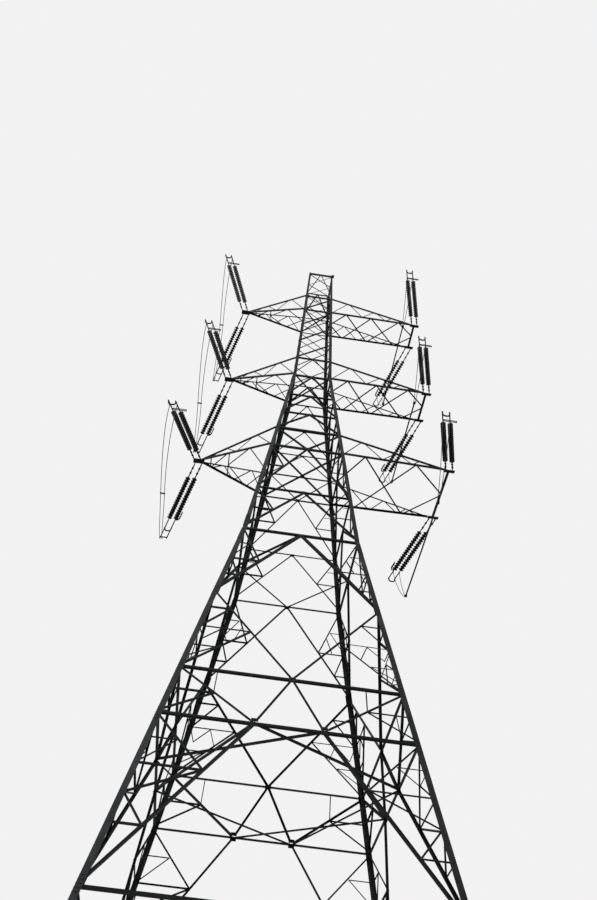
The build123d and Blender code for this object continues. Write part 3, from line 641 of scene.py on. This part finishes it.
# %% [markdown]
# Bolts with six-sided heads hold every joint. The head starts as a six-sided cylinder
# and gets a narrower, chamfered top. One sits on each end of the small bars, and groups
# stand on the legs and plates where the large bars meet. On the real tower a head is
# 38 mm wide across its corners, so it is 19 mm wide here.

# %% Bolts
BOLT_R, BOLT_TALL = 0.0095, 0.008
SIDES_SHARE, CHAMFER_SHARE, TOP_NARROWER = 0.7, 0.3, 0.78


def bolt_master():
    """Bolt head that stands on the origin, open underneath."""
    deselect()
    bpy.ops.mesh.primitive_cylinder_add(vertices=6, radius=BOLT_R, depth=BOLT_TALL * SIDES_SHARE,
                                        location=(0, 0, 0))
    bpy.ops.object.mode_set(mode="EDIT")
    bpy.ops.transform.translate(value=(0, 0, BOLT_TALL * SIDES_SHARE / 2))
    select_where(lambda c: c.z > BOLT_TALL * 0.6, "FACE")
    bpy.ops.mesh.extrude_region_move(
        TRANSFORM_OT_translate={"value": (0, 0, BOLT_TALL * CHAMFER_SHARE)})
    bpy.ops.transform.resize(value=(TOP_NARROWER, TOP_NARROWER, 1),
                             center_override=(0, 0, BOLT_TALL))
    select_where(lambda c: c.z < BOLT_TALL * 0.1, "FACE")
    bpy.ops.mesh.delete(type="FACE")
    return take_mesh("bolt_master")


# %% [markdown]
# A bolt stands on a face along its normal. A group on a leg has columns at a distance
# from the corner and rows one pitch apart. A group on a plate has four bolts. Where two
# bars meet, both lists name the same bolt, so the places are kept by where they are and
# each bolt is laid only once.

# %% Where the bolts sit
def bolt_places(spots, depth):
    """Bolts on all four faces, at shares and heights mirrored left and right."""
    places = {}
    for share, z in spots:
        for s in (-1, 1):
            spot = face_point(s * share, z, depth)
            for p, n in faces_of([spot, face_normal(z)]):
                place = n.to_track_quat("Z", "Y").to_matrix().to_4x4()
                place.translation = p
                places[tuple(round(c, 4) for c in p)] = place
    return list(places.values())


def leg_spots(levels, columns, rows, pitch):
    """Groups of bolts on the legs' flanges, columns metres in from the corner."""
    spots = []
    for level in levels:
        for row in range(rows):
            z = level + (row - (rows - 1) / 2) * pitch
            spots += [(1 - column / half_width(z), z) for column in columns]
    return spots


def plate_spots(levels, across, up):
    """Four bolts round each joint, at a share and a height."""
    spots = []
    for share, level in levels:
        for z in (level - up, level + up):
            spots += [(share + dx / half_width(z), z) for dx in (across, -across)]
    return spots


# %% [markdown]
# The groups follow the joints' heights, and get smaller and closer as the legs get
# lighter. The small bars get one bolt at each end.

# %% Bolts on the legs
LACING_BOLT_IN = 0.045
bolt = bolt_master()
on_legs = leg_spots((KNEE + 0.03, BELT - 0.02, COLLAR, WAIST),
                    columns=(0.028, 0.056), rows=5, pitch=0.05)
on_legs += leg_spots((CHEST + 0.02, ARM1_LOW, ARM1_TOP, NECK1 + 0.02, NECK2 + 0.02),
                     columns=(0.026, 0.05), rows=3, pitch=0.05)
on_legs += leg_spots((ARM2_LOW + 0.08, ARM2_TOP, CROSS1, CROSS2, ARM3_LOW, ARM3_TOP - 0.04),
                     columns=(0.03,), rows=3, pitch=0.045)
on_legs += [(1 - LACING_BOLT_IN / half_width(zl), zl) for zb, zl in LACING]
print("Bolts on one flange of a leg:", len(set(on_legs)))

# %% [markdown]
# The braces lie inside the legs' flanges, so their bolts stand as deep as a flange is
# thick: 8 mm on the lower legs and 7 mm on the middle ones.

# %% Bolts on the braces and their plates
LOWER_FLANGE, MIDDLE_FLANGE = 0.008, 0.007
on_braces = [(brace_share(zb), zb) for zb, zl in LACING]
joints = [(0, KNEE - 0.03), (BELT_SHARE, BELT - 0.025), (BELT_SHARE, BELT + 0.052), (0, COLLAR),
          (0, CROWN - 0.024)]
on_braces += plate_spots(joints, across=0.034, up=0.018)
smaller = [(0, z - 0.01) for z in (CHEST, ARM1_LOW, NECK1, NECK2)] + [(0, ARM1_LOW + 0.01)]
places = bolt_places(on_legs, 0.0) + bolt_places(on_braces, LOWER_FLANGE)
places += bolt_places(plate_spots(smaller, across=0.03, up=0.02), MIDDLE_FLANGE)
stamp("bracing_bolts", bolt, places, bolt_steel)

# %% [markdown]
# A leg changes its size where the body bends, and cover plates tie the two lengths
# together, outside each flange. Each plate is a slab with bevelled edges, and has two
# rows of bolts. The bottom of a leg stands on a foot plate, held by one anchor stud
# with its washer and nut.

# %% Cover plate
def plate_master(wide, tall, thick):
    """Slab that stands on the origin, with its upper edges bevelled."""
    deselect()
    bpy.ops.mesh.primitive_cube_add(size=1, location=(0, 0, 0))
    bpy.ops.object.mode_set(mode="EDIT")
    bpy.ops.transform.resize(value=(wide, tall, thick), center_override=(0, 0, 0))
    bpy.ops.transform.translate(value=(0, 0, thick / 2))
    select_where(lambda c: c.z > thick * 0.9, "FACE")
    bpy.ops.mesh.bevel(offset=thick * 0.3, segments=1, affect="EDGES")
    return take_mesh("plate_master")


def plate_places(spots):
    """Matrices that lay plates along the legs, with Y up the leg's lean."""
    places = []
    for share, z in spots:
        for s in (-1, 1):
            above, below = (face_point(s * share, z + step, 0) for step in (NEARBY, -NEARBY))
            lean = (above - below).normalized()
            for p, n, y in faces_of([face_point(s * share, z, 0), face_normal(z), lean]):
                place = Matrix((y.cross(n), y, n)).transposed().to_4x4()
                place.translation = p
                places.append(place)
    return places


# %% [markdown]
# The plates sit where the leg's two lengths meet, and their bolts stand on them in two
# columns. A plate's size is its width, its height and its thickness.

# %% Cover plates with their bolts
COVER, COVER_IN = (0.046, 0.34, 0.005), 0.033
COVER_LEVELS = (SHOULDER - 0.20, SHOULDER + 0.20, ARM2_LOW - 0.20)
covers = [(1 - COVER_IN / half_width(z), z) for z in COVER_LEVELS]
stamp("leg_cover_plates", plate_master(*COVER), plate_places(covers), tower_steel)
rows = leg_spots(COVER_LEVELS, columns=(0.024, 0.042), rows=6, pitch=0.052)
stamp("cover_plate_bolts", bolt, bolt_places(rows, -COVER[2]), bolt_steel)

# %% [markdown]
# Discs, caps, sleeves and nuts are round. On a lathe they would be turned from a bar. In
# edit mode a ring is pulled along the profile, one step at a time, and closed.

# %% Turned shapes
def lathe(name, profile, segments):
    """Turned shape: a ring is pulled along a profile of radius and height, then closed."""
    deselect()
    radius, height = profile[0]
    bpy.ops.mesh.primitive_circle_add(vertices=segments, radius=radius, location=(0, 0, 0))
    bpy.ops.object.mode_set(mode="EDIT")
    bpy.ops.transform.translate(value=(0, 0, height))
    bpy.ops.mesh.select_mode(type="EDGE")
    bpy.ops.mesh.edge_face_add()
    bpy.ops.mesh.select_mode(type="EDGE")
    bpy.ops.mesh.select_all(action="SELECT")
    for wide, high in profile[1:]:
        bpy.ops.mesh.extrude_edges_move(TRANSFORM_OT_translate={"value": (0, 0, high - height)})
        bpy.ops.transform.resize(value=(wide / radius, wide / radius, 1),
                                 center_override=(0, 0, high))
        radius, height = wide, high
    bpy.ops.mesh.edge_face_add()
    return take_mesh(name)


# %% [markdown]
# The anchor stands in the middle of its foot plate's hole: a washer, a nut and the stud
# that sticks out of it, turned as one shape from pairs of radius and height.

# %% Anchor nuts
ANCHOR_IN = 0.080
anchor = lathe("anchor_master", [(0.030, 0.021), (0.030, 0.025), (0.024, 0.0251), (0.024, 0.045),
                                 (0.0145, 0.0451), (0.0145, 0.07), (0.011, 0.074)], 12)
at = half_width(0) - ANCHOR_IN
spots = [Matrix.Translation((sx * at, sy * at, 0)) for sx in (-1, 1) for sy in (-1, 1)]
stamp("anchor_nuts", anchor, spots, bolt_steel)

# %% [markdown]
# A tension string is a chain of cap and pin discs. Each porcelain shed is a shallow bell
# with ribs under it, cemented between an iron cap above and a pin below, and the pin
# hooks into the next cap. The shed is turned: a ring is pulled outwards, over the rim
# and back under the ribs. Its profile is written in millimetres.

# %% String masters
MM = 0.001


def scaled(profile):
    """A profile of radius and height, from millimetres to metres."""
    return [(r * MM, z * MM) for r, z in profile]


shed = lathe("shed_master", scaled([(20, 10), (36, 15), (51, 23), (57.5, 31), (56.5, 39), (47, 37),
                                    (43, 47), (33, 41), (12, 47)]), 12)
shed.shade_smooth()
cap = lathe("cap_master", scaled([(15, -6), (25, -2), (29, 5), (28, 14), (20, 18)]), 10)
pin = lathe("pin_master", scaled([(11, 44), (11, 60), (14, 64), (12, 70)]), 8)
print("Shed", len(shed.polygons), "faces, cap", len(cap.polygons), "pin", len(pin.polygons))

# %% [markdown]
# The strings pull on the arms from both sides, a little back towards the pointed arms
# and a little down. A string starts just outside its plate's edge, so its link clears
# the plate by a hair. Two strings of 17 discs hang side by side, twice as far apart as
# one disc is from the next.

# %% Direction of a string
UP = Vector((0, 0, 1))
TURN, DIP = radians(17), radians(10)
TWIN, SEAT_GAP = 0.146, 0.0002
DISC_PITCH, DISCS, NECK = 0.073, 17, 0.060
# Radii of a link, a clamp, a cross rod and a wire.
LINK_R, CLAMP_R, CROSS_R, WIRE_R = 0.009, 0.013, 0.008, 0.007


def line_direction(s):
    """Direction of the strings, towards the front for s of -1 and the back for 1."""
    return Vector((-sin(TURN) * cos(DIP), s * cos(TURN) * cos(DIP), -sin(DIP)))


def string_start(x, y, z, s):
    """Start of a string, where its link just clears the edge of its plate."""
    d = line_direction(s)
    return Vector((x, y, z)) + d * ((LINK_R * sqrt(1 - d.y * d.y) + SEAT_GAP) / abs(d.y))


def along(start, d, distance, length=1.0):
    """Matrix whose Z runs down a string, from a distance along it."""
    side = UP.cross(d).normalized()
    place = Matrix((d.cross(side), side, d * length)).transposed().to_4x4()
    place.translation = start + d * distance
    return place


# %% [markdown]
# Between plate and discs hangs a forged link with an eye at its upper end, and after the
# last disc a socket and a pressed clamp. The clamp is a long sleeve with a collar. Its
# master is turned to the length that each kind of string needs, because a stretched copy
# would also stretch its collar.

# %% Sleeve and eye
def sleeve_profile(length):
    """Profile of a socket and the pressed sleeve that follows it."""
    tall = length / MM
    return scaled([(8, 0), (8, 34), (12.5, 38), (12.5, 58), (10, 62), (13, 70), (13, tall - 24),
                   (9.5, tall - 2), (7, tall)])


def eye_master(radius, thick):
    """Forged eye: a ring that stands upright and is a little long."""
    deselect()
    bpy.ops.mesh.primitive_torus_add(major_radius=radius, minor_radius=thick, major_segments=12,
                                     minor_segments=6, rotation=(pi / 2, 0, 0), location=(0, 0, 0))
    bpy.ops.object.transform_apply(rotation=True)
    bpy.ops.object.mode_set(mode="EDIT")
    bpy.ops.transform.resize(value=(1, 1, 1.35), center_override=(0, 0, 0))
    return take_mesh("eye_master")


# %% [markdown]
# These four small masters are used in every string. The rod is one metre long, as the
# angle master is. The knot stands for the shackle where two links meet.

# %% Eye, rod, knot and collar
ROD_R = 0.0135
eye = eye_master(radius=0.019, thick=0.009)
rod = lathe("rod_master", [(ROD_R, 0.0), (ROD_R, 1.0)], 8)
knot = lathe("knot_master", scaled([(14, -26), (23, -18), (23, 18), (14, 26)]), 8)
collar = lathe("collar_master", scaled([(12, -14), (16, -11), (16, 11), (12, 14)]), 10)
print("Eye", len(eye.polygons), "faces, knot", len(knot.polygons), "collar", len(collar.polygons))

# %% [markdown]
# The curved spacers, the arcing rings and the wires are bent from round stock. A smooth
# curve with a round section does that best. The rods are then made meshes, so that they
# can be joined to the other fittings.

# %% Round curves and bent rods
def round_curve(name, points, radius, closed, steps, roundness):
    """Object of a smooth curve that the points guide, with a round section."""
    curve = bpy.data.curves.new(name, "CURVE")
    curve.dimensions = "3D"
    spline = curve.splines.new("NURBS")
    spline.points.add(len(points) - 1)
    for point, p in zip(spline.points, points):
        point.co = (*p, 1)
    spline.order_u = 3
    spline.use_endpoint_u = not closed
    spline.use_cyclic_u = closed
    spline.resolution_u = steps
    curve.bevel_depth = radius
    curve.bevel_resolution = roundness
    holder = bpy.data.objects.new(name, curve)
    scene.collection.objects.link(holder)
    return holder


def bent_rod(name, points, radius, closed=False):
    """Mesh of a bent round rod."""
    holder = round_curve(name, points, radius, closed, steps=4, roundness=1)
    deselect()
    holder.select_set(True)
    bpy.context.view_layer.objects.active = holder
    bpy.ops.object.convert(target="MESH")
    made = bpy.context.object
    mesh = made.data
    bpy.data.objects.remove(made)
    return mesh


# %% [markdown]
# The fittings of one string are joined to one piece. Each master comes with the list of
# matrices that place it.

# %% Joining several masters
def join_piece(name, parts, material):
    """One piece from stamped copies of several masters: pairs of a mesh and its matrices."""
    corners, faces, smooth = [], [], []
    for mesh, places in parts:
        for place in places:
            first = len(corners)
            corners += [tuple(place @ v.co) for v in mesh.vertices]
            faces += [tuple(first + i for i in p.vertices) for p in mesh.polygons]
            smooth += [p.use_smooth for p in mesh.polygons]
    return new_piece(name, corners, faces, smooth, material)


# %% [markdown]
# A string set hangs in the same place as its solid. So its sizes are those of the solid:
# the arms' heights, the plates' edges, and how far along a string each part sits.

# %% Sizes of the arms and strings
# How far out each pointed arm reaches, and how far out and to each side a square one does.
ARM_Z = {"bottom": ARM1_LOW, "middle": ARM2_LOW, "top": ARM3_LOW}
LEFT_TIPS = {"bottom": 2.321, "middle": 2.037, "top": 1.979}
RIGHT_ENDS = {"bottom": (3.099, 0.749), "middle": (2.839, 0.447), "top": (2.687, 0.382)}
# From there to the strings: the edges of the plates, and the shifts inwards.
TIP_EDGE, END_EDGE, LEFT_BACK_IN, RIGHT_STRINGS_IN, HALF_PLATE = 0.065, 0.012, 0.040, 0.024, 0.005
# Each kind of string: where its discs, its spacer and its clamp's end lie along it.
FRONT_STRING = (0.300, 1.850, 1.890)
BACK_STRING = (0.419, 1.930, 1.970)
LONG_STRING = (0.419, 1.930, 2.270)
CROSS_AT, EYE_AT, ROD_FROM, KNOTS = 2.230, 0.026, 0.030, (0.35, 0.68)
print("Arms", [round(z, 2) for z in ARM_Z.values()], "m up")

# %% [markdown]
# The curved spacer hangs in a bow between the two sleeves. The arcing ring is a narrow
# loop: a route out from a sleeve, and the same route back a little higher. In front it
# crosses both sleeves, and at the back it runs up beside the last discs of one string.

# %% Curved spacer and arcing ring
BOW_SAG, BOW_R, SAG_AT_ENDS, SAG_IN_MIDDLE = 0.090, 0.016, 0.9, 1.15
RING_REACH, RING_RISE, RING_OUT, RING_BACK, RING_R = 0.135, 0.040, 0.084, 0.205, 0.010


def curved_spacer(a, b):
    """Rod that sags from a to b."""
    sag, middle = UP * BOW_SAG, (a + b) / 2
    return bent_rod("spacer", [a, a - sag * SAG_AT_ENDS, middle - sag * SAG_IN_MIDDLE,
                               b - sag * SAG_AT_ENDS, b], BOW_R)


def arcing_ring(starts, d, last, ring_side):
    """Ring across both sleeves for a side of 0, or beside the left or right string."""
    if ring_side == 0:
        root = starts[0] + d * (last + NECK)
        reach = starts[1] + d * (last + NECK) + Vector((RING_REACH, 0, 0))
        route = [root, (root + reach) / 2, reach]
    else:
        root = starts[1 if ring_side > 0 else 0] + d * (last + NECK / 2)
        knee = root + Vector((ring_side * RING_OUT, 0, 0)) - d * (NECK / 2)
        route = [root, knee, knee - d * RING_BACK * 0.5, knee - d * RING_BACK]
    route.append(route[-1])
    way_back = [p + UP * RING_RISE for p in reversed(route)]
    return bent_rod("ring", route + way_back, RING_R, closed=True)


# %% [markdown]
# Two strings run side by side. Links with eyes lead to the discs, a curved spacer
# holds the sleeves apart, and a ring beside the last discs takes the arc of a
# lightning stroke, so that it spares the porcelain. The spacer and the ring are made in
# their places, so their matrix is the one that moves nothing.

# %% One string set
IN_PLACE = [Matrix.Identity(4)]


def string_set(node, x, y, z, s, lengths, ring_side):
    """Two parallel strings with their links, clamps, spacer and arcing ring."""
    link, bow, end = lengths
    d = line_direction(s)
    starts = [string_start(x - TWIN / 2, y, z, s), string_start(x + TWIN / 2, y, z, s)]
    last = link + DISCS * DISC_PITCH
    disc_places = [along(p, d, link + i * DISC_PITCH) for p in starts for i in range(DISCS)]
    discs = stamp(node + "_discs", shed, disc_places, porcelain)
    sleeve = lathe("sleeve_master", sleeve_profile(end - last), 10)
    sleeve.shade_smooth()
    spacer_rod = curved_spacer(*(p + d * bow for p in starts))
    parts = [(cap, disc_places), (pin, disc_places), (spacer_rod, IN_PLACE),
             (rod, [along(p, d, ROD_FROM, link - EYE_AT) for p in starts]),
             (eye, [along(p, d, EYE_AT) for p in starts]),
             (knot, [along(p, d, link * share) for share in KNOTS for p in starts]),
             (sleeve, [along(p, d, last) for p in starts]),
             (collar, [along(p, d, bow) for p in starts])]
    if end > CROSS_AT:
        first = starts[0] + d * CROSS_AT
        parts.append((collar, [along(p, d, CROSS_AT) for p in starts]))
        parts.append((rod, [along(first, Vector((1, 0, 0)), 0, TWIN)]))
    parts.append((arcing_ring(starts, d, last, ring_side), IN_PLACE))
    fittings = join_piece(node + "_fittings", parts, fitting_steel)
    for piece in (discs, fittings):
        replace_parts(piece, node)


# %% [markdown]
# Each arm carries one set to the front and one to the back.

# %% The twelve string sets
for level, z in ARM_Z.items():
    plate_z = z - HALF_PLATE
    tip_x, tip_back_x = -LEFT_TIPS[level], -LEFT_TIPS[level] + LEFT_BACK_IN
    string_set(level + "_left_front_strings", tip_x, -TIP_EDGE, plate_z, -1, FRONT_STRING, 0)
    string_set(level + "_left_back_strings", tip_back_x, TIP_EDGE, plate_z, 1, LONG_STRING, 1)
    reach, out = RIGHT_ENDS[level]
    x, edge = reach - RIGHT_STRINGS_IN, out + END_EDGE
    string_set(level + "_right_front_strings", x, -edge, plate_z, -1, FRONT_STRING, 0)
    string_set(level + "_right_back_strings", x, edge, plate_z, 1, BACK_STRING, -1)
print("Strings done")

# %% [markdown]
# Jumpers carry the current past the tower. Under the left arms each is a free loop of
# two wires, which hang from the clamps of one side to those of the other. Under the
# right arms a stiff bar takes the place of the loop's bottom, and short wires lead to
# it. A wire is a smooth curve: its points hang where the solid's route has them.

# %% Sizes of loops and bars
# A loop: how far its bottom hangs below the arm and out from the tip, and its spacer.
LOOP_DROPS = {"bottom": 1.330, "middle": 1.330, "top": 1.100}
LOOP_OUT, LOOP_TWIN, LOOP_SPACER_Y, SPACER_RISE = 0.507, 0.076, -0.200, 0.002
# A bar: its place across the line, and its front and back ends.
BARS = {"bottom": (2.568, -1.380, 1.500), "middle": (2.233, -1.390, 1.040),
        "top": (2.082, -1.350, 1.130)}
BAR_DROP, BAR_R, BAR_TWIN, WIRE_IN_HEAD = 1.720, 0.016, 0.036, 0.020
print("Bars", [round(back - front, 2) for x, front, back in BARS.values()], "m long")

# %% [markdown]
# A stiff wire leaves its clamp straight down and swings out in a curve like a quarter of
# an ellipse. The power makes the curve's shoulder square or slack. The curve is drawn in
# many small steps, and points about 200 mm apart are then picked from it.

# %% Curve of a hanging wire
LEAD, WIRE_RUN, CURVE_STEPS = 0.040, 0.200, 400
NEAR_POWER, FAR_POWER, BAR_POWER = 2.4, 1.3, 1.2


def drop_curve(top, goal, power):
    """Points that leave top straight down and reach goal level, evenly spaced."""
    under = top - Vector((0, 0, LEAD))
    fine = []
    for i in range(CURVE_STEPS + 1):
        turn = radians(90 * i / CURVE_STEPS)
        fine.append(Vector((goal.x + (under.x - goal.x) * cos(turn) ** 2,
                            goal.y + (under.y - goal.y) * abs(cos(turn)) ** (2 / power),
                            under.z + (goal.z - under.z) * sin(turn) ** (2 / power))))
    total = sum((q - p).length for p, q in zip(fine, fine[1:]))
    runs = round(total / WIRE_RUN)
    points = [top, fine[0]]
    gone = 0.0
    for p, q in zip(fine, fine[1:]):
        gone += (q - p).length
        if gone >= total * (len(points) - 1) / runs and len(points) < runs + 1:
            points.append(q)
    return points + [fine[-1]]


# %% [markdown]
# The wire itself is a smooth spline with a round section, and its ends touch the
# undersides of the sleeves. How far along a string a wire hangs from it differs between
# the front and the back of a bar.

# %% Ends and body of a wire
WIRE_AT, BAR_WIRE_AT, CROSS_SHIFT = 1.760, 1.700, 0.040


def wire_end(x, y, z, s, at, radius):
    """Top of a wire, just under its string."""
    point = string_start(x, y, z, s) + line_direction(s) * at
    return point - Vector((0, 0, radius / cos(DIP) + WIRE_R * tan(DIP) + SEAT_GAP))


def wire(name, points, node):
    """Smooth round wire with the route's points as control points."""
    piece = round_curve(name, points, WIRE_R, closed=False, steps=6, roundness=2)
    piece.data.use_fill_caps = True
    piece.data.materials.append(aluminium)
    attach(piece, "root")
    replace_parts(piece, node)


# %% [markdown]
# A wire ends in a pressed lug under its clamp. The two wires of a pair would strike each
# other in the wind, so a bolted spacer holds them apart. The bar's ends have heads that
# the wires are bolted into. A head starts as a block, is bevelled, and gets raised pads
# by an inset and an extrude.

# %% Lugs and blocks
SOFT_EDGE, PAD_IN, PAD_TALL = 0.003, 0.006, 0.004
lug = lathe("lug_master", scaled([(7.5, -46), (10, -42), (10, -6), (11.5, -4), (11.5, 0)]), 10)
lug.shade_smooth()
print("Lug", len(lug.polygons), "faces")


def block_master(wide, long, tall):
    """Bevelled block with a raised pad above and below."""
    deselect()
    bpy.ops.mesh.primitive_cube_add(size=1, location=(0, 0, 0))
    bpy.ops.object.mode_set(mode="EDIT")
    bpy.ops.transform.resize(value=(wide, long, tall - 2 * PAD_TALL), center_override=(0, 0, 0))
    bpy.ops.mesh.bevel(offset=SOFT_EDGE, segments=2, affect="EDGES")
    for side in (-1, 1):
        select_where(lambda c: c.z * side > tall * 0.3 and abs(c.x) < wide * 0.2
                     and abs(c.y) < long * 0.2, "FACE")
        bpy.ops.mesh.inset(thickness=PAD_IN)
        bpy.ops.mesh.extrude_region_move(TRANSFORM_OT_translate={"value": (0, 0, side * PAD_TALL)})
    return take_mesh("block_master")


# %% [markdown]
# The stiff bar is a tube with softened ends. Its heads, and the spacer of a loop, are
# blocks of different sizes.

# %% Bars and heads
def bar_master(length):
    """Tube along Y with softened ends."""
    deselect()
    bpy.ops.mesh.primitive_cylinder_add(vertices=16, radius=BAR_R, depth=length,
                                        rotation=(pi / 2, 0, 0), location=(0, 0, 0))
    bpy.ops.object.transform_apply(rotation=True)
    bpy.ops.object.mode_set(mode="EDIT")
    select_where(lambda c: abs(c.y) > length * 0.49, "FACE")
    bpy.ops.mesh.bevel(offset=SOFT_EDGE, segments=1, affect="EDGES")
    return take_mesh("bar_master")


spacer = block_master(wide=0.106, long=0.030, tall=0.026)
head = block_master(wide=0.058, long=0.062, tall=0.034)
print("Spacer", len(spacer.polygons), "faces, head", len(head.polygons))

# %% [markdown]
# Two wires hang from the front clamps to the back ones, with one spacer between. At the
# back the outer wire hangs from a clamp, and the inner one from the cross rod beside it.

# %% Loops under the left arms
def left_loop(level):
    """Two wires, their lugs and their spacer under one left arm."""
    node = level + "_left_jumper"
    tip, z = LEFT_TIPS[level], ARM_Z[level] - HALF_PLATE
    bottom = ARM_Z[level] - LOOP_DROPS[level]
    back_x = -tip + LEFT_BACK_IN - TWIN / 2
    cross = string_start(back_x, TIP_EDGE, z, 1) + line_direction(1) * CROSS_AT
    ends = [wire_end(back_x, TIP_EDGE, z, 1, CROSS_AT, CLAMP_R),
            cross + Vector((CROSS_SHIFT, 0, -CROSS_R - SEAT_GAP))]
    tops = []
    for s, b in zip((-1, 1), ends):
        a = wire_end(-tip + s * TWIN / 2, -TIP_EDGE, z, -1, WIRE_AT, CLAMP_R)
        middle = Vector((-tip - LOOP_OUT + s * LOOP_TWIN / 2, 0, bottom))
        near = drop_curve(a, middle, NEAR_POWER)
        far = drop_curve(b, middle, FAR_POWER)
        wire(node + ("_outer" if s < 0 else "_inner"), near[:-1] + far[-1::-1], node)
        tops += [a, b]
    spacer_at = Matrix.Translation((-tip - LOOP_OUT, LOOP_SPACER_Y, bottom + SPACER_RISE))
    parts = [(spacer, [spacer_at]), (lug, [Matrix.Translation(p) for p in tops])]
    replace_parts(join_piece(node + "_fittings", parts, fitting_steel), node)


# %% [markdown]
# A right arm's bar hangs by four short wires, two at each end.

# %% Bars under the right arms
def right_bar(level):
    """A stiff bar with its heads and its four wires under one right arm."""
    node = level + "_right_jumper"
    reach, out = RIGHT_ENDS[level]
    bar_x, front, back = BARS[level]
    x, edge, z = reach - RIGHT_STRINGS_IN, out + END_EDGE, ARM_Z[level] - HALF_PLATE
    bottom = ARM_Z[level] - BAR_DROP
    tops = []
    for s, y, at, radius in ((-1, front, WIRE_AT, CLAMP_R), (1, back, BAR_WIRE_AT, LINK_R)):
        for shift in (-0.5, 0.5):
            a = wire_end(x + shift * TWIN, s * edge, z, s, at, radius)
            goal = Vector((bar_x + shift * BAR_TWIN, y + s * WIRE_IN_HEAD, bottom))
            name = node + ("_front_" if s < 0 else "_back_") + ("left" if shift < 0 else "right")
            wire(name, drop_curve(a, goal, BAR_POWER), node)
            tops.append(a)
    length = back - front
    middle = Matrix.Translation((bar_x, (front + back) / 2, bottom))
    bar = join_piece(node + "_bar", [(bar_master(length), [middle])],
                     tube_metal)
    parts = [(head, [Matrix.Translation((bar_x, y, bottom)) for y in (front, back)]),
             (lug, [Matrix.Translation(p) for p in tops])]
    for piece in (bar, join_piece(node + "_fittings", parts, fitting_steel)):
        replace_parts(piece, node)


# %% [markdown]
# The three levels differ only in their sizes, so one loop makes all six jumpers.

# %% All six jumpers
for level in ARM_Z:
    left_loop(level)
    right_bar(level)
print("Jumpers done")

# %% [markdown]
# At one corner of the top stands a small bracket: a block with raised pads, made as a
# bar's head is, and an eye under it.

# %% Bracket at the top
BRACKET_OUT, BRACKET_DOWN, EYE_DOWN = 0.006, 0.052, 0.060
out = half_width(PEAK) + BRACKET_OUT
corner = Vector((out, -out, PEAK - BRACKET_DOWN))
bracket = block_master(wide=0.074, long=0.060, tall=0.088)
parts = [(bracket, [Matrix.Translation(corner)]),
         (eye, [Matrix.Translation(corner - UP * EYE_DOWN)])]
join_piece("top_bracket", parts, fitting_steel)
print("Bracket at", [round(c, 2) for c in corner])
